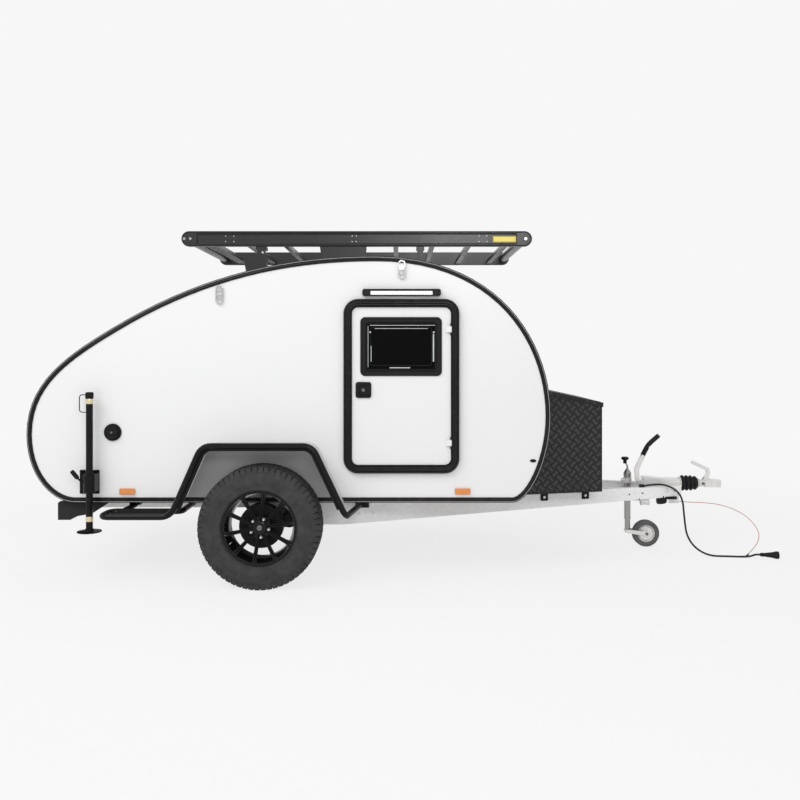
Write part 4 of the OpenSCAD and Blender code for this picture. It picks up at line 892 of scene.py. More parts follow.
def make_fender_trim():
    """The black rubber edge inside the fender's tube, and a grey panel behind the wheel that is painted
    shade: it stands for the fender's shadow on the white wall.
    """
    line = fender_line(RIDE + 0.004)
    lip = offset(line, 0.012) + offset(line, 0.030)[::-1]
    lips = Shape().prism(lip, RIGHT, 0.014, 0.968).both_sides()
    lips.place("fender_lips", RUBBER, "trailer", "tube_black", 0.002)
    # A grey panel on the wall inside the arch: painted shade in place of the fender's shadow on the white
    # skin.
    panel = offset(fender_line(RIDE + 0.032), 0.004)
    shade_panel = Shape().prism(panel, RIGHT, 0.0012, HALF_W + 0.0003).both_sides()
    shade_panel.place("arch_panels", ARCH_SHADE, "trailer", "fender_sheet")


make_fender_trim()


# ---------- Body edges and small fittings ----------


def body_outline(inset, steps=16):
    """The body's side outline, moved inwards."""
    crown, crown_x = RIDE + 1.408, -0.139
    nose_x, nose_z, belly_front = 0.861, RIDE + 0.494, (0.642, RIDE)
    tail_x, tail_z, belly_rear = -2.132, RIDE + 0.390, (-1.855, RIDE)
    slope = Vector((-1.634, crown - 0.406))
    rise = Vector((math.cos(math.radians(31)), math.sin(math.radians(31))))
    curves = [
        [belly_front, (0.740, RIDE), (nose_x, nose_z - 0.256), (nose_x, nose_z)],
        [(nose_x, nose_z), (nose_x, nose_z + 0.431), (0.565, crown), (crown_x, crown)],
        [(crown_x, crown), (-0.645, crown), slope + 0.595 * rise, slope],
        [slope, slope - 0.309 * rise, (tail_x, tail_z + 0.299), (tail_x, tail_z)],
        [(tail_x, tail_z), (tail_x, tail_z - 0.248), (-1.978, RIDE), belly_rear],
    ]
    points = []
    for a, b, c, d in ([Vector(p) for p in curve] for curve in curves):
        for i in range(steps):
            t = i / steps
            u = 1 - t
            points.append(tuple(u**3 * a + 3 * u * u * t * b + 3 * u * t * t * c + t**3 * d))
    return offset(points + [belly_rear], inset, True)


def make_edge_piping():
    """A pale seam line and a raised rubber bead on the black edge trim."""
    face = HALF_W + 0.005
    line = [Vector((x, -face, z)) for x, z in body_outline(0.0062)]
    seams = Shape().tube(line, 0.0015, 8, closed=True).both_sides()
    seams.place("edge_seams", SEAM, "trailer", "skin_white")
    line = [Vector((x, 0.001 - face, z)) for x, z in body_outline(0.019)]
    beads = Shape().tube(line, 0.0055, 10, closed=True).both_sides()
    beads.place("edge_beads", TRIM, "trailer", "trim_black")


make_edge_piping()


# ---------- Doors, windows and lamps of the sides ----------


# Sizes over the door's frame and where its middle stands; over the window's frame; and of the pane.
DOOR_W, DOOR_H, DOOR_Z = 0.661, 0.995, 1.1135
WINDOW_W, WINDOW_H = 0.465, 0.336
PANE_W, PANE_H = 0.401, 0.272
# How far out from the trailer's middle the lock's turned parts are seated.
LOCK_FACE = 0.8035
# Pale strips painted on the pane as reflections of its glazing edges: (rear, low, front, high) from its
# middle.
PAINTED_PANE_GLINTS = [
    (-0.178, 0.1195, 0.196, 0.1225), (-0.150, 0.1015, 0.152, 0.1042), (-0.1895, -0.118, -0.1868, 0.118),
    (-0.1725, -0.086, -0.1690, 0.004), (0.1815, -0.086, 0.1885, 0.072), (-0.066, -0.1235, 0.052, -0.1185),
]


def make_window_details(side, sign):
    """Beads and seals of one window, and pale strips on its pane that are painted reflections of its glazing
    edges.
    """
    body = f"{side}_door"
    centre = middle("window_glass_right")
    pane_face = -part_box("window_glass_right")[0].y
    window_face = -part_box("window_frame_right")[0].y
    seat = on_side(sign, centre.x, centre.z, window_face - 0.0008)
    edges = Shape().loop(WINDOW_W - 0.016, WINDOW_H - 0.016, 0.020, 0.012, 0.0035, seat)
    edges.loop(PANE_W + 0.007, PANE_H + 0.007, 0.0165, 0.006, 0.0028, seat)
    edges.place(f"{side}_window_beads", LOCK, body, "trim_black")
    glass = on_side(sign, centre.x, centre.z, pane_face - 0.0006)
    seals = Shape().loop(PANE_W - 0.008, PANE_H - 0.008, 0.010, 0.007, 0.0034, glass)
    seals.loop(PANE_W - 0.052, PANE_H - 0.056, 0.012, 0.0035, 0.0016, glass)
    seals.place(f"{side}_window_seal", RUBBER, body, "trim_black")
    # Painted reflections: pale strips where the pane's glazing edges catch the light, in one mesh with the
    # pane's two knobs.
    bright = Shape()
    for rear, z0, front, z1 in PAINTED_PANE_GLINTS:
        x0, x1 = sorted((-sign * rear, -sign * front))
        bright.block((x0, z0, 0.0), (x1, z1, 0.0016), glass)
    for x in (-0.176, 0.1865):
        knob = moved(glass, -sign * x, 0.0815, 0)
        bright.lathe([(0.0052, 0), (0.0052, 0.003), (0.003, 0.0045), (0.0001, 0.0046)], knob, 20)
    bright.place(f"{side}_pane_edges", PANE_GLINT_AND_KNOB, body, "window_glass", 0.0004)


def make_lock_details(side, sign):
    body = f"{side}_door"
    centre = middle("door_lock_right")
    seat = on_side(sign, centre.x, centre.z, LOCK_FACE)
    rose = [(0.036, 0), (0.036, 0.006), (0.033, 0.009), (0.0315, 0.009), (0.030, 0.0062), (0.0001, 0.0062)]
    barrel = [(0.021, 0.004), (0.021, 0.0135), (0.019, 0.0155), (0.0135, 0.0155), (0.0125, 0.0142)]
    lock = Shape().lathe(rose, seat, 8, turn=22.5)
    lock.lathe(barrel + [(0.0001, 0.0142)], seat, 40)
    lock.place(f"{side}_lock_barrel", LOCK, body, "lock_black", 0.0005)
    key = Shape().lathe([(0.0095, 0.012), (0.0095, 0.0158), (0.0088, 0.0164), (0.0001, 0.0164)], seat, 32)
    key.block((-0.0009, -0.005, 0.016), (0.0009, 0.005, 0.0168), seat)
    key.place(f"{side}_lock_key", DARK_STEEL, body, "lock_black")


def make_door_details():
    frame_x, frame_face = middle("door_frames").x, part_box("door_frames")[1].y
    for side, sign in SIDES.items():
        seat = on_side(sign, frame_x, DOOR_Z, frame_face - 0.0008)
        rims = Shape()
        for less, corner, width, rise in (
            (0.014, 0.077, 0.011, 0.0042), (0.068, 0.050, 0.009, 0.0020), (0.042, 0.063, 0.012, 0.0022),
        ):
            rims.loop(DOOR_W - less, DOOR_H - less, corner, width, rise, seat)
        rims.place(f"{side}_door_beads", TRIM, "trailer", "trim_black")
        seat = on_side(sign, frame_x, DOOR_Z, frame_face - 0.0085)
        leaf_edge = Shape().loop(DOOR_W - 0.089, DOOR_H - 0.089, 0.0395, 0.005, 0.003, seat)
        leaf_edge.place(f"{side}_door_seal", RUBBER, "trailer", "trim_black")
        make_window_details(side, sign)
        make_lock_details(side, sign)


def make_awning_lamps():
    """Bright strips on the faces of the awning lights, and the ribs along them."""
    low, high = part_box("awning_lights")
    face, z0 = high.y, low.z
    x0, x1 = low.x + 0.048, high.x - 0.048
    strip = Shape().block((x0, z0 + 0.0055, face - 0.002), (x1, z0 + 0.0275, face + 0.0015), RIGHT)
    strip.both_sides().place("light_strips", CLEAR, "trailer", "light_housing", 0.0015)
    ribs = Shape()
    count = 24
    for i in range(count):
        x = x0 + (x1 - x0) * (i + 0.5) / count
        ribs.block((x - 0.0022, z0 + 0.0035, face - 0.001), (x + 0.0022, z0 + 0.0085, face + 0.003), RIGHT)
    ribs.block((x0 - 0.004, z0 + 0.0275, face - 0.001), (x1 + 0.004, z0 + 0.0315, face + 0.0035), RIGHT)
    ribs.both_sides().place("light_strip_ribs", HOUSING, "trailer", "light_housing")


def make_marker_ribs():
    low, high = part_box("marker_lamps")
    face, z_middle = high.y, (low.z + high.z) / 2
    ribs = Shape()

    def rib(x, half_width, half_height, rise):
        start = (x - half_width, z_middle - half_height, face - 0.001)
        ribs.block(start, (x + half_width, z_middle + half_height, face + rise), RIGHT)

    for x_middle in (low.x + 0.035, high.x - 0.035):
        for k in range(9):
            rib(x_middle - 0.028 + 0.007 * k, 0.0012, 0.0125, 0.0012)
        rib(x_middle, 0.010, 0.011, 0.002)
    ribs.both_sides().place("marker_ribs", AMBER, "trailer", "lamp_amber", 0.0004)


def make_side_fittings():
    """The filler cap's rings and key, and the small vent."""
    cap = middle("filler_cap")
    seat = on_right(cap.x, cap.z, -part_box("filler_cap")[0].y)
    outer = [(0.0485, -0.0225), (0.0495, -0.0205), (0.0475, -0.0195), (0.0430, -0.0195), (0.0410, -0.0225)]
    inner = [(0.030, -0.012), (0.030, -0.0085), (0.0285, -0.0075), (0.0265, -0.0085), (0.0265, -0.012)]
    rings = Shape().lathe(outer, seat, 64, closed=True).lathe(inner, seat, 48, closed=True)
    rings.knurls(16, (0.0335, -0.0022, -0.011), (0.0385, 0.0022, -0.0085), seat)
    rings.place("filler_cap_rings", TRIM, "trailer", "lock_black", 0.0006)
    key = Shape().lathe([(0.0065, -0.002), (0.0065, 0.0015), (0.0055, 0.0022), (0.0001, 0.0022)], seat, 32)
    key.block((-0.0012, -0.0045, 0.002), (0.0012, 0.0045, 0.003), seat)
    key.place("filler_cap_key", DARK_STEEL, "trailer", "lock_black")
    seat = on_right(0.760, 0.687, HALF_W)
    oval = [(1.9 * x, y) for x, y in arc((0, 0), 0.0095, 0, 345, 23)]
    small = [(0.72 * x, 0.66 * y) for x, y in oval]
    vent = Shape().prism(oval, seat, 0.004, -0.0005).prism(small, seat, 0.0055, -0.0005)
    vent.place("side_vent", LOCK, "trailer", "lock_black", 0.0008)


make_door_details()
make_awning_lamps()
make_marker_ribs()
make_side_fittings()


# ---------- Roof rack ----------


# Middles of the rivet groups on the rack's rail, and how far each rivet stands from them in x.
RIVET_GROUPS = ((-1.0225, 0.0245), (-0.2755, 0.0125), (0.4975, 0.0235))
FOOT_BOLTS = (
    (-0.838, 1.966), (-0.808, 1.966), (-0.823, 1.905), (0.114, 1.953), (0.136, 1.953),
    (-0.20, 1.888), (-0.17, 1.888),
)


def make_rail_beads(low, high, z_middle):
    seat = on_right((low.x + high.x) / 2, z_middle, high.y - 0.0006)
    length, height = high.x - low.x, high.z - low.z
    lips = Shape().loop(length - 0.010, height - 0.010, height / 2 - 0.0051, 0.009, 0.0028, seat)
    lips.loop(length - 0.186, height - 0.029, 0.004, 0.005, 0.0022, seat)
    lips.both_sides().place("rack_rail_beads", TRIM, "trailer", "rack_black")


def make_rack_fixings(low, high, z_middle, web):
    """Rivets on the rail's web, bolts at its ends and bolts on the rack's feet."""
    dome = Shape().lathe([(0.0038, -0.001), (0.0038, 0.001), (0.0025, 0.0024), (0.0001, 0.0027)], FLAT, 12)
    rivets = []
    for sign in SIDES.values():
        for x_middle, reach in RIVET_GROUPS:
            for dx in (-reach, reach):
                for dz in (-0.0165, 0.0165):
                    rivets.append(on_side(sign, x_middle + dx, z_middle + dz, web))
    rivet_mesh = copies("rack_rivets", dome.mesh("rivet"), rivets, STEEL)
    keep("rack_rivets", rivet_mesh, STEEL, "trailer")
    ends = Shape()
    for x in (low.x + 0.017, low.x + 0.054, high.x - 0.038):
        seat = on_right(x, z_middle, high.y)
        ends.hexagon(seat, 0.0058, 0.005)
        ends.lathe([(0.0078, -0.0005), (0.0078, 0.0012), (0.0070, 0.0016)], seat, 20)
    ends.both_sides().place("rack_end_bolts", CHROME, "trailer", "rack_black", smooth=25)
    foot_bolts = Shape()
    for x, z in FOOT_BOLTS:
        hit = struck("rack_feet", (x, -2, z), (0, 1, 0))[0]
        if hit is not None:
            foot_bolts.hexagon(facing(hit, (0, -1, 0)), 0.0075, 0.006)
    foot_bolts.both_sides().place("rack_foot_bolts", STEEL, "trailer", "rack_black", smooth=25)


def make_slat_ribs():
    low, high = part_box("rack_slats")
    inner = high.y - 0.001
    ribs = Shape()
    for k in range(9):
        x = low.x + 0.027 + 0.222 * k
        half, count = (0.011, 3) if k else (0.023, 5)
        for i in range(count):
            rib = x - half + 2 * half * i / (count - 1)
            for z0, z1 in ((-0.0028, 0.001), (0.0235, 0.0262)):
                ribs.block((rib - 0.0018, -inner, low.z + z0), (rib + 0.0018, inner, low.z + z1))
    ribs.place("rack_slat_ribs", RACK, "trailer", "rack_black")


def make_rack_details():
    low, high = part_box("rack_frame")
    z_middle, web = (low.z + high.z) / 2, high.y - 0.009
    make_rail_beads(low, high, z_middle)
    make_rack_fixings(low, high, z_middle, web)
    plate = Shape().block((0.558, 1.9665, web - 0.0005), (0.717, 2.0035, web + 0.002), RIGHT)
    plate.place("rack_plate", YELLOW, "trailer", "rack_black", 0.0008)
    border = Shape().loop(0.153, 0.031, 0.003, 0.0016, 0.0008, on_right(0.6375, 1.985, web + 0.0019))
    border.place("rack_plate_border", RACK, "trailer", "rack_black")
    make_slat_ribs()


make_rack_details()


# ---------- Front box ----------

# A drawbar member's slant, and where its outer web ends.
SLANT = math.radians(14.0548)
DRAWBAR_END_X, DRAWBAR_END_Y = 1.846, -0.075


def on_drawbar(x, z):
    """A frame on the outer web of the right drawbar member."""
    y = DRAWBAR_END_Y - (DRAWBAR_END_X - x) * math.tan(SLANT)
    return facing((x, y, z), (math.sin(SLANT), -math.cos(SLANT), 0))


def checker_bar():
    """One raised bar of the plate, lens-shaped and low."""
    half, width, rise = 0.0160, 0.0026, 0.0018
    low = [(-half, 0, -0.0006), (0, -width, -0.0006), (half, 0, -0.0006), (0, width, -0.0006)]
    top = [(-half * 0.8, 0, rise), (0, -width * 0.45, rise), (half * 0.8, 0, rise), (0, width * 0.45, rise)]
    rings = []
    for points in (low, top):
        a, b, c, d = (Vector(p) for p in points)
        rings.append([a, a.lerp(b, 0.6), b, c.lerp(b, 0.6), c, c.lerp(d, 0.6), d, a.lerp(d, 0.6)])
    return Shape().skin(rings).mesh("checker_bar")


def bar_frame(node, start, along, direction):
    """A frame for a bar lying on a node's flat face, or None where it wouldn't lie flat."""
    hit, normal = struck(node, start, direction)
    ends = [struck(node, start + along * reach, direction) for reach in (-0.017, 0.017)]
    if hit is None or any(end is None for end, _ in ends) or normal.dot(direction) > -0.8:
        return None
    if any(out.dot(normal) < 0.999 or abs((end - hit).dot(normal)) > 0.0006 for end, out in ends):
        return None
    lying = (ends[1][0] - ends[0][0]).normalized()
    frame_of = Matrix((lying, normal.cross(lying), normal)).transposed().to_4x4()
    frame_of.translation = hit
    return frame_of


def checker_places(node, origin, direction, across, span, rise):
    """Frames of the bars on the faces of a node that are seen along a direction."""
    cell, pitch, bars = 0.040, 0.0098, 4
    origin, direction, across = Vector(origin), Vector(direction), Vector(across)
    third = direction.cross(across)
    diagonals = [(across + third).normalized(), (third - across).normalized()]
    steps = int((span + rise) / cell) + 2
    frames = []
    for i in range(-steps, steps + 1):
        for j in range(-steps, steps + 1):
            along, side = diagonals if (i + j) % 2 else diagonals[::-1]
            centre = origin + (i * diagonals[0] + j * diagonals[1]) * cell
            for k in range(bars):
                start = centre + side * pitch * (k - (bars - 1) / 2)
                away = start - origin
                if abs(away.dot(across)) <= span and abs(away.dot(third)) <= rise:
                    frames.append(bar_frame(node, start, along, direction))
    return [found for found in frames if found is not None]


def make_checker_plate():
    box_middle, lid_middle = middle("front_box"), middle("box_lid")
    sides = []
    for sign in SIDES.values():
        origin = (box_middle.x, sign * 1.2, box_middle.z)
        sides += checker_places("front_box", origin, (0, -sign, 0), (1, 0, 0), 0.35, 0.40)
    sides += checker_places("front_box", (2.0, 0, box_middle.z), (-1, 0, 0), (0, 1, 0), 0.55, 0.40)
    plate = copies("box_pattern", checker_bar(), sides, PLATE)
    # The bars take the lighter grey of the painted highlight.
    keep("box_checker_bars", plate, CHECKER_HIGHLIGHT, "trailer")
    top = checker_places("box_lid", (lid_middle.x, 0, 2.0), (0, 0, -1), (1, 0, 0), 0.35, 0.60)
    for sign in SIDES.values():
        origin = (lid_middle.x, sign * 1.2, lid_middle.z)
        top += checker_places("box_lid", origin, (0, -sign, 0), (1, 0, 0), 0.35, 0.2)
    plate = copies("lid_pattern", checker_bar(), top, PLATE)
    # The lid's bars take the same painted highlight grey.
    keep("lid_checker_bars", plate, CHECKER_HIGHLIGHT, "lid")
    bolts, tabs = Shape(), Shape()
    for x in (0.905, 1.178):
        seat = on_drawbar(x, 0.397)
        tabs.prism(rounded_rectangle(0.050, 0.072, 0.005), on_drawbar(x, 0.410), 0.0042, 0.0003)
        bolts.lathe([(0.0085, 0.004), (0.0085, 0.0056), (0.0078, 0.0060)], seat, 20)
        bolts.hexagon(moved(seat, 0, 0, 0.0055), 0.0062, 0.0050)
    tabs.both_sides().place("box_foot_tabs", POWDER, "trailer", "tube_black", 0.0008, ["box_feet"])
    bolts.both_sides().place("box_foot_bolts", CHROME, "trailer", "tube_black", smooth=25)


make_checker_plate()


# ---------- Stands ----------


STAND_X, STAND_Y = -1.748, 0.860
STAND_FOOT = [
    (0.067, 0), (0.068, 0.0015), (0.067, 0.0045), (0.040, 0.0075), (0.026, 0.009), (0.025, 0.016),
    (0.0195, 0.016),
]
GRIP_SECTION = [
    (0.0075, 0), (0.0105, 0.003), (0.0112, 0.012), (0.0104, 0.036), (0.0118, 0.050), (0.0095, 0.056),
    (0.0001, 0.057),
]


def make_stand_leg(side, foot):
    """One stand's leg with its foot and handle, and the cap, bands and rings on it."""
    body, node = f"{side}_stand", f"stand_leg_{side}"
    low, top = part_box(node)[0].z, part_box(node)[1].z
    leg = Shape().lathe([(0.019, low), (0.019, top - 0.0005), (0.0001, top)], foot, 48)
    leg.lathe([(radius, low + height) for radius, height in STAND_FOOT], foot, 64)
    corners = [(0.0, top - 0.014), (-0.056, top - 0.014), (-0.056, top - 0.112), (0.0, top - 0.112)]
    leg.tube([foot @ Vector((x, 0, z)) for x, z in bent_line(corners, 0.016)], 0.0027, 12)
    leg.place(f"{side}_stand_leg", POWDER, body, "tube_black", 0, [node])
    section = [(0.0194, top - 0.036), (0.0212, top - 0.034), (0.0215, top - 0.004)]
    cap = Shape().lathe(section + [(0.0195, top + 0.001), (0.0001, top + 0.0015)], foot, 40)
    cap.knurls(20, (0.0205, -0.0011, top - 0.032), (0.0225, 0.0011, top - 0.006), foot)
    cap.place(f"{side}_stand_cap", LOCK, body, "tube_black", 0.0005)
    bands = Shape()
    for z0, z1 in ((1.0165, 1.0445), (0.355, 0.383)):
        section = [(0.0188, z0), (0.0198, z0), (0.0202, z0 + 0.001), (0.0202, z1 - 0.001)]
        bands.lathe(section + [(0.0198, z1), (0.0188, z1)], foot, 48, closed=True)
    bands.place(f"{side}_stand_bands", BRASS, body, "tube_black")
    rings = Shape()
    for k in range(7):
        z = 0.46 + 0.075 * k
        section = [(0.0188, z), (0.0194, z), (0.0194, z + 0.0015), (0.0188, z + 0.0015)]
        rings.lathe(section, foot, 32, closed=True)
    rings.place(f"{side}_stand_rings", POWDER, body, "tube_black")


def make_clamp_details(side, sign):
    """The grip on one stand's clamp, and the clamp's bolts."""
    start, end = Vector((-1.813, sign * 0.867, 0.600)), Vector((-1.840, sign * 0.870, 0.634))
    axis = (end - start).normalized()
    seat = facing(start - axis * 0.004, axis, (0, 1, 0))
    grip = Shape().lathe(GRIP_SECTION, seat, 28)
    grip.knurls(12, (0.0095, -0.0012, 0.006), (0.0122, 0.0012, 0.048), seat)
    grip.place(f"{side}_clamp_grip", LOCK, "trailer", "tube_black", 0.0005)
    bolts = Shape()
    for x in (-1.817, -1.725):
        for z in (0.515, 0.620):
            bolts.hexagon(on_side(sign, x, z, 0.7955), 0.0065, 0.005)
    bolts.place(f"{side}_clamp_bolts", POWDER, "trailer", "tube_black", smooth=25)


def make_stand_details():
    for side, sign in SIDES.items():
        make_stand_leg(side, moved(FLAT, STAND_X, sign * STAND_Y, 0))
        make_clamp_details(side, sign)


make_stand_details()


# ---------- Coupling, jockey wheel and drawbar ----------


BELLOWS_REAR, BELLOWS_FRONT, DRAW_Z, FOLDS = 1.860, 1.983, 0.438, 4


def bellows_section():
    """Radius and length along the folded bellows, from the rear."""
    length = BELLOWS_FRONT - BELLOWS_REAR
    pitch = (length - 0.014) / FOLDS
    section = [(0.0001, 0.0005), (0.041, 0.0005)]
    for k in range(FOLDS):
        start = 0.002 + pitch * k
        peak = 0.0515 - (0.0035 if k == FOLDS - 1 else 0) - 0.0008 * k
        rising = [(0.06, 0.036), (0.14, 0.0385), (0.26, peak - 0.004), (0.36, peak - 0.001)]
        falling = [(0.64, peak - 0.001), (0.74, peak - 0.004), (0.88, 0.0385), (0.96, 0.036)]
        for share, radius in rising + [(0.5, peak)] + falling:
            section.append((radius, start + pitch * share))
    return section + [(0.031, length - 0.0115), (0.031, length - 0.001), (0.0001, length - 0.001)]


def make_coupling_details():
    shape = Shape().lathe(bellows_section(), facing((BELLOWS_REAR, 0, DRAW_Z), (1, 0, 0)), 72)
    shape.block((1.556, -0.141, 0.430), (1.582, -0.119, 0.448))
    gland = facing((1.5805, -0.130, 0.439), (1, 0, 0))
    shape.lathe([(0.0092, 0), (0.0094, 0.003), (0.0075, 0.0078), (0.0068, 0.0082)], gland, 28)
    shape.place("bellows_folds", RUBBER, "trailer", "bellows_rubber", 0, ["bellows_and_gland"])
    bands = Shape()
    front = facing((BELLOWS_FRONT - 0.0105, 0, DRAW_Z), (1, 0, 0))
    rear = facing((BELLOWS_REAR - 0.0075, 0, DRAW_Z), (1, 0, 0))
    bands.lathe([(0.0305, 0), (0.0325, 0.0005), (0.0325, 0.0075), (0.0305, 0.008)], front, 40, closed=True)
    bands.lathe([(0.0335, 0), (0.0425, 0.0005), (0.0425, 0.007), (0.0335, 0.0075)], rear, 48, closed=True)
    bands.place("bellows_bands", STEEL, "trailer", "cast_silver")
    seat = on_right(2.006, 0.4365, 0.0235)
    washer = Shape().lathe([(0.0135, -0.002), (0.0135, 0.001), (0.0125, 0.002)], seat, 32)
    washer.both_sides().place("coupling_washer", STEEL, "trailer", "cast_silver")
    bolt = Shape().hexagon(moved(seat, 0, 0, 0.0015), 0.0092, 0.0075)
    bolt.both_sides().place("coupling_bolt", DARK_STEEL, "trailer", "cast_silver", smooth=25)


def make_drawbar_details():
    # Dark domed discs where the drawbar's web has holes: painted shade standing for the dark inside of the
    # holes.
    hole_shades = Shape()
    section = [(0.0058, -0.001), (0.0058, 0.0012), (0.0045, 0.0018), (0.0001, 0.0008)]
    for x, z in ((1.480, 0.389), (1.572, 0.393)):
        hole_shades.lathe(section, on_drawbar(x, z), 20)
    hole_shades.both_sides().place("drawbar_plugs", DARK_STEEL, "trailer", "axle_steel")
    bolts = Shape()
    axle_bolts = [(-0.24, 0.405), (-0.16, 0.405), (-0.24, 0.345), (-0.16, 0.345)]
    for x, z in axle_bolts + [(1.80, 0.405), (1.74, 0.403)]:
        seat = on_drawbar(x, z)
        bolts.hexagon(seat, 0.0085, 0.0065)
        bolts.lathe([(0.012, -0.0005), (0.012, 0.0014), (0.011, 0.0018)], seat, 20)
    bolts.both_sides().place("drawbar_bolts", STEEL, "trailer", "galvanised", smooth=25)
    under = Shape()
    under.block((1.492, -0.150, 0.3475), (1.552, -0.122, 0.362))
    under.block((1.716, -0.104, 0.346), (1.808, -0.062, 0.3640))
    cup = facing((1.676, -0.100, 0.3375), (1, 0, 0))
    section = [(0.016, 0), (0.0225, 0.004), (0.0235, 0.030), (0.020, 0.052), (0.012, 0.064), (0.0001, 0.066)]
    under.lathe(section, cup, 40)
    under.block((1.694, -0.108, 0.350), (1.722, -0.092, 0.3705))
    under.place("drawbar_fittings", LOCK, "trailer", "lock_black", 0.002)
    pale = Shape()
    holder = facing((1.564, -0.118, 0.3335), (1, 0, 0))
    section = [(0.019, 0), (0.0225, 0.002), (0.0225, 0.010), (0.0185, 0.014), (0.0185, 0.044), (0.022, 0.048)]
    pale.lathe(section + [(0.022, 0.056), (0.016, 0.058), (0.0001, 0.05)], holder, 40)
    pale.block((1.576, -0.126, 0.346), (1.610, -0.110, 0.3700))
    pale.place("plug_parking", WHITE_PLATE, "trailer", "lock_black", 0.001)
    circle = [(1.812 + x, -0.004, 0.319 + z) for x, z in arc((0, 0), 0.0095, 0, 342, 19)]
    Shape().tube(circle, 0.0022, 10, closed=True).place("rope_ring", CHROME, "trailer", "chrome")


def make_levers():
    """The handbrake's ribbed grip, and the head of its pivot pin."""
    pivot = Vector((1.587, -0.056, 0.418))
    points = [(0.0105, 0, 0.211), (0.029, 0, 0.247), (0.054, 0, 0.286), (0.1185, 0, 0.3435)]
    path = smooth_path([pivot + Vector(p) for p in points], 8)
    radii = [0.0138] + [0.0152] * (len(path) - 3) + [0.0150, 0.0125]
    grip = Shape().tube(path, radii, 24)
    section = [(0.0148, -0.0014), (0.0168, -0.0008), (0.0168, 0.0008), (0.0148, 0.0014)]
    for here, after in zip(path[1:13], path[2:14]):
        grip.lathe(section, facing(here, after - here, (0, 1, 0)), 24, closed=True)
    grip.place("handbrake_grip", RUBBER, "brake_lever", "lock_black")
    pin = Shape().hexagon(on_right(pivot.x, pivot.z, 0.0075 - pivot.y), 0.011, 0.0065)
    pin.place("handbrake_pin", DARK_STEEL, "trailer", "cast_silver", smooth=25)


JOCKEY_X, JOCKEY_Y = 1.533, 0.080


def mirrored(section):
    """A lathe section and its mirror image across the wheel's middle."""
    return section + [(r, -w) for r, w in reversed(section)]


def make_jockey_wheel():
    centre, low = middle("jockey_wheel"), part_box("jockey_wheel")[0]
    radius, half = centre.z - low.z, centre.y - low.y
    axle = facing(centre, (0, -1, 0))
    tyre = [(radius - 0.031, 0.005 - half), (radius - 0.026, -half), (radius - 0.012, -half)]
    tyre += [(radius - 0.004, 0.004 - half), (radius, 0.010 - half)]
    tyre += [(radius, -0.0045), (radius - 0.0022, -0.0030)]
    bore = [(radius - 0.033, half - 0.010), (radius - 0.033, 0.010 - half)]
    shape = Shape().lathe(mirrored(tyre) + bore, axle, 96, closed=True)
    shape.place("jockey_tyre", GREY_RUBBER, "jockey_roller", "jockey_tyre", 0, ["jockey_wheel"], 28)
    hub = [(0.0085, -0.029), (0.0165, -0.029), (0.0165, -0.010), (0.024, -0.008), (0.044, -0.010)]
    hub += [(0.049, -0.016), (0.0545, -0.021), (0.0565, -0.021), (0.0565, -0.012)]
    web = Shape().lathe(mirrored(hub), axle, 64, closed=True)
    for z0, z1 in ((-0.0135, -0.0065), (0.0065, 0.0135)):
        web.knurls(10, (0.018, -0.0016, z0), (0.046, 0.0016, z1), axle)
    web.place("jockey_hub", CAST, "jockey_roller", "cast_silver", 0.0004, smooth=30)
    nuts = Shape()
    for face in (-1, 1):
        nuts.hexagon(facing(centre + Vector((0, face * 0.0345, 0)), (0, face, 0)), 0.0105, 0.0075)
    nuts.place("jockey_axle_nuts", DARK_STEEL, "jockey_swivel", "cast_silver", smooth=25)


def make_jockey_details():
    """The crank's knob, the wheel and the clamp's handle."""
    knob = moved(FLAT, JOCKEY_X - 0.016, JOCKEY_Y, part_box("jockey_tube")[1].z)
    section = [(0.0105, -0.042), (0.0125, -0.040), (0.0118, -0.022), (0.0150, -0.019), (0.0215, -0.016)]
    section += [(0.0235, -0.010), (0.0228, 0.000), (0.018, 0.0025), (0.0001, 0.003)]
    shape = Shape().lathe(section, knob, 40)
    shape.knurls(14, (0.0215, -0.0016, -0.014), (0.0245, 0.0016, -0.002), knob)
    shape.place("crank_knob", LOCK, "jockey_sleeve", "lock_black", 0.0006)
    make_jockey_wheel()
    x, y = JOCKEY_X - 0.040, JOCKEY_Y - 0.012
    handle = facing((x + 0.010, y, 0.447), (-1, 0, 0))
    clamp = Shape().lathe([(0.006, -0.002), (0.006, 0.016), (0.0001, 0.0165)], handle, 16)
    clamp.tube([(x, y, 0.447), (x - 0.002, y - 0.033, 0.452), (x, y - 0.054, 0.460)], 0.0045, 12)
    clamp.place("jockey_clamp_handle", CAST, "trailer", "cast_silver")


make_coupling_details()
make_drawbar_details()
make_levers()
make_jockey_details()


# ---------- Rear ----------


def make_rear_lamps():
    """Amber and clear fields of the tail lamps, with the dark bars beside them."""
    low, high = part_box("tail_lamps")
    amber, clear, bezel = Shape(), Shape(), Shape()
    face, z0, z1, outer = low.x, low.z, high.z, high.y
    for shape, inner_edge, outer_edge, proud, margin in (
        (amber, 0.072, 0.004, 0.0018, 0.004), (clear, 0.236, 0.188, 0.0018, 0.004),
        (bezel, 0.077, 0.073, 0.0022, 0.001), (bezel, 0.187, 0.183, 0.0022, 0.001),
    ):
        start = (face - proud, outer - inner_edge, z0 + margin)
        shape.block(start, (face + 0.001, outer - outer_edge, z1 - margin))
    amber.both_sides().place("tail_amber", AMBER, "trailer", "lamp_amber", 0.0008)
    clear.both_sides().place("tail_clear", CLEAR, "trailer", "lamp_red", 0.0008)
    bezel.both_sides().place("tail_bezels", LOCK, "trailer", "bumper_plastic")


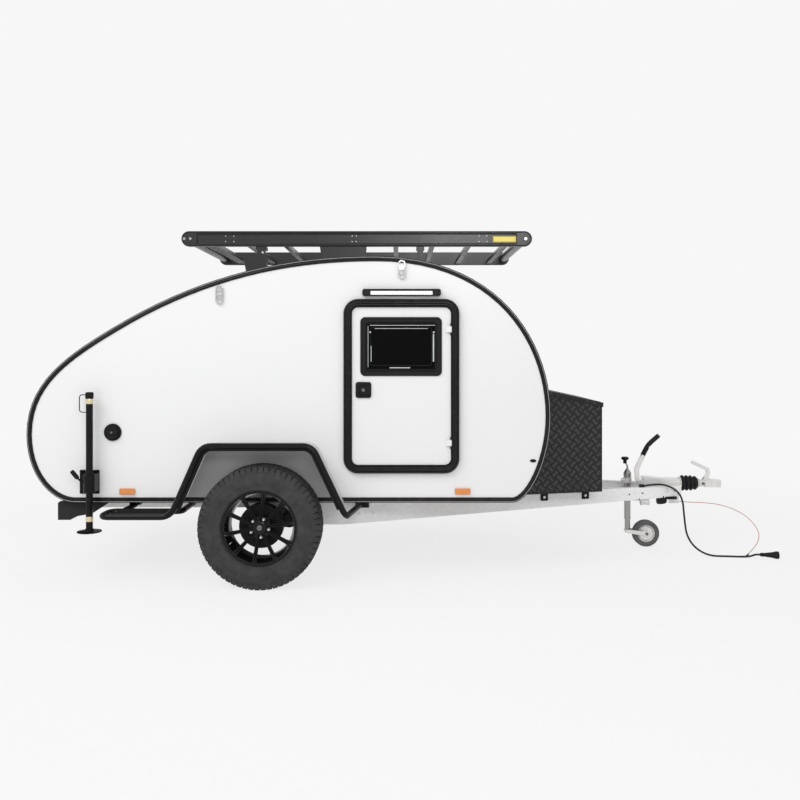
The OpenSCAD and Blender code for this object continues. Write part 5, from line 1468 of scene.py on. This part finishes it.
def make_rear_details():
    """The bare number plate, the hatch's handle and key, and the front box's latch."""
    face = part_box("rear_bumper")[0].x
    holder = Shape().block((face - 0.0045, -0.265, 0.342), (face + 0.001, 0.265, 0.460))
    holder.place("plate_holder", LOCK, "trailer", "bumper_plastic", 0.002)
    plate = Shape().block((face - 0.0062, -0.258, 0.348), (face - 0.004, 0.258, 0.455))
    plate.place("blank_plate", WHITE_PLATE, "trailer", "bumper_plastic", 0.0008)
    seat = facing(*struck("rear_hatch", (-3, 0, 0.70), (1, 0, 0)))
    handle = Shape().prism(rounded_rectangle(0.150, 0.052, 0.014), seat, 0.006, -0.002)
    handle.prism(rounded_rectangle(0.112, 0.024, 0.011), seat, 0.013, 0.003)
    handle.place("hatch_handle", LOCK, "hatch", "lock_black", 0.0015)
    key = Shape().lathe([(0.009, 0.010), (0.009, 0.0172), (0.0082, 0.018), (0.0001, 0.018)], seat, 28)
    key.place("hatch_key", STEEL, "hatch", "lock_black")
    seat = facing(*struck("front_box", (3, 0, 0.92), (-1, 0, 0)))
    latch = Shape().prism(rounded_rectangle(0.086, 0.072, 0.010), seat, 0.005, -0.001)
    latch.prism(rounded_rectangle(0.050, 0.040, 0.006), seat, 0.012, 0.003)
    latch.place("box_latch", LOCK, "trailer", "lock_black", 0.0012)


make_rear_lamps()
make_rear_details()


# ---------- Free cables ----------

POWER_ROUTE = [
    (1.590, -0.130, 0.439), (1.630, -0.130, 0.445), (1.675, -0.129, 0.448), (1.720, -0.128, 0.443),
    (1.765, -0.127, 0.427), (1.800, -0.126, 0.402), (1.825, -0.125, 0.369), (1.838, -0.126, 0.327),
    (1.842, -0.129, 0.283), (1.845, -0.136, 0.234), (1.847, -0.146, 0.187), (1.851, -0.158, 0.142),
    (1.863, -0.172, 0.103), (1.884, -0.188, 0.068), (1.914, -0.204, 0.040), (1.952, -0.218, 0.020),
    (1.996, -0.227, 0.009), (2.045, -0.232, 0.007), (2.105, -0.239, 0.007), (2.160, -0.246, 0.007),
    (2.205, -0.252, 0.009), (2.228, -0.256, 0.014), (2.246, -0.2595, 0.021), (2.262, -0.2625, 0.0245),
    (2.280, -0.265, 0.0245),
]
ROPE_ROUTE = [
    (1.8523, 0, 0.314), (1.890, -0.004, 0.313), (1.934, -0.010, 0.311), (1.990, -0.020, 0.311),
    (2.045, -0.030, 0.308), (2.090, -0.045, 0.304), (2.126, -0.060, 0.297), (2.162, -0.075, 0.287),
    (2.197, -0.092, 0.272), (2.232, -0.110, 0.253), (2.259, -0.125, 0.232), (2.281, -0.140, 0.207),
    (2.300, -0.155, 0.177), (2.310, -0.170, 0.147), (2.309, -0.182, 0.125), (2.299, -0.196, 0.100),
    (2.282, -0.207, 0.077), (2.260, -0.218, 0.056), (2.236, -0.228, 0.036), (2.218, -0.233, 0.018),
    (2.205, -0.236, 0.008),
]


def make_plug():
    """The power cord's plug: its body and its pins."""
    heading = Vector((math.cos(math.radians(8)), -math.sin(math.radians(8)), 0))
    seat = facing((2.2802, -0.265, 0.0245), heading)
    section = [(0.0072, 0.0003), (0.0108, 0.003), (0.0116, 0.012), (0.0116, 0.034), (0.0138, 0.038)]
    section += [(0.0150, 0.052), (0.0180, 0.074), (0.0212, 0.088), (0.0236, 0.094), (0.0238, 0.1105)]
    section += [(0.0228, 0.112), (0.0205, 0.112), (0.0195, 0.100), (0.0001, 0.100)]
    plug = Shape().lathe(section, seat, 48)
    for k in range(5):
        z = 0.006 + 0.0052 * k
        section = [(0.0112, z), (0.0122, z + 0.0006), (0.0122, z + 0.0022), (0.0112, z + 0.0028)]
        plug.lathe(section, seat, 40, closed=True)
    pins = Shape()
    for k in range(7):
        angle, reach = math.tau * k / 6, 0.011 if k < 6 else 0.0
        pin = moved(seat, reach * math.cos(angle), reach * math.sin(angle), 0)
        pins.lathe([(0.0019, 0.096), (0.0019, 0.1085), (0.0001, 0.109)], pin, 12)
    body = plug.place("power_plug_body", LOCK, "trailer", "cable_black", 0, ["power_plug"])
    return body, pins.place("power_plug_pins", BRASS, "trailer", "cable_black")


def make_rope_clip(end, back):
    """The fitting at the rope's end: a sleeve over the rope and a pin beyond it."""

    def beyond(x):
        return end + Vector((x, 0, 0))

    path = [end + back * 0.024, end + back * 0.021, end + back * 0.004, end, beyond(-0.006)]
    clip = Shape().tube(path, [0.0024, 0.0044, 0.0048, 0.0046, 0.0040], 20)
    clip.tube([beyond(-0.0055), beyond(-0.008), beyond(-0.031)], [0.0034, 0.0040, 0.0038], 20)
    return clip.place("rope_clip", LOCK, "trailer", "chrome", 0.0006, ["breakaway_clip"])


def make_cables():
    power_path, rope_path = smooth_path(POWER_ROUTE, 6), smooth_path(ROPE_ROUTE, 6)
    power = Shape().tube(power_path, 0.006, 20)
    power = power.place("power_cord", CABLE, "trailer", "cable_black", 0, ["power_cable"])
    rope = Shape().tube(rope_path, 0.002, 12)
    rope = rope.place("breakaway_rope", RED_ROPE, "trailer", "cable_red", 0, ["breakaway_cable"])
    plug, pins = make_plug()
    end = rope_path[-1]
    clip = make_rope_clip(end, (rope_path[-8] - end).normalized())


make_cables()


# ---------- Floor and light ----------

BACKGROUND, FLOOR_COLOUR = (0.93, 0.93, 0.93, 1), (0.96, 0.96, 0.96, 1)
SKY_STRENGTH = 0.62
# Where the floor starts to fade into the background and where it has, and how far it has at first.
FLOOR_NEAR, FLOOR_FAR, SHADOW_SHARE = 2.0, 6.0, 0.84


def seen_directly(tree):
    """1 for camera, mirror and see-through rays, 0 for the light that falls on things."""
    path = add_node(tree, "ShaderNodeLightPath").outputs
    total = path["Is Camera Ray"]
    for name in ("Is Glossy Ray", "Is Transmission Ray"):
        larger = add_node(tree, "ShaderNodeMath", {"operation": "MAXIMUM"}, {0: total, 1: path[name]})
        total = larger.outputs[0]
    return total


def make_world():
    """White light from all round, and the background's own tone where it is seen."""
    world = bpy.data.worlds.new("studio")
    bpy.context.scene.world = world
    world.use_nodes = True
    tree = world.node_tree
    tree.nodes.clear()
    lit = add_node(tree, "ShaderNodeBackground", {}, {"Color": (1, 1, 1, 1), "Strength": SKY_STRENGTH})
    shown = add_node(tree, "ShaderNodeBackground", {}, {"Color": BACKGROUND})
    links = {0: seen_directly(tree), 1: lit.outputs[0], 2: shown.outputs[0]}
    mix = add_node(tree, "ShaderNodeMixShader", {}, links)
    add_node(tree, "ShaderNodeOutputWorld", {}, {0: mix.outputs[0]})


def make_floor():
    """A matt floor that takes shadows near the trailer and fades into the background."""
    bm = bmesh.new()
    bmesh.ops.create_circle(bm, cap_ends=True, segments=96, radius=60)
    data = from_bmesh(bm, "floor")
    floor = in_scene("floor", data)
    material = bpy.data.materials.new("pale_floor")
    material.use_nodes = True
    tree = material.node_tree
    tree.nodes.clear()
    matt = add_node(tree, "ShaderNodeBsdfDiffuse", {}, {"Color": FLOOR_COLOUR})
    shown = add_node(tree, "ShaderNodeEmission", {}, {"Color": BACKGROUND})
    place = add_node(tree, "ShaderNodeTexCoord").outputs["Object"]
    distance = add_node(tree, "ShaderNodeVectorMath", {"operation": "LENGTH"}, {0: place})
    values = {0: distance.outputs["Value"], 1: FLOOR_NEAR, 2: FLOOR_FAR, 3: SHADOW_SHARE, 4: 1.0}
    fade = add_node(tree, "ShaderNodeMapRange", {"interpolation_type": "SMOOTHSTEP"}, values)
    links = {0: seen_directly(tree), 1: fade.outputs[0]}
    share = add_node(tree, "ShaderNodeMath", {"operation": "MULTIPLY"}, links)
    links = {0: share.outputs[0], 1: matt.outputs[0], 2: shown.outputs[0]}
    mix = add_node(tree, "ShaderNodeMixShader", {}, links)
    add_node(tree, "ShaderNodeOutputMaterial", {}, {0: mix.outputs[0]})
    data.materials.append(material)


def softbox(name, place, target, size, power):
    lamp = bpy.data.lights.new(name, "AREA")
    lamp.shape = "RECTANGLE"
    lamp.size, lamp.size_y = size
    lamp.energy = power
    holder = in_scene(name, lamp)
    holder.location = place
    holder.rotation_euler = (Vector(target) - Vector(place)).to_track_quat("-Z", "Y").to_euler()


make_world()
make_floor()
softbox("key_light", (-3.5, -5.0, 5.5), (-0.2, 0, 0.9), (5.0, 3.0), 200)
softbox("fill_light", (0.85, -6.2, 2.95), (0.3, 0, 1.4), (1.8, 0.9), 50)
bpy.context.scene.view_settings.view_transform = "Standard"
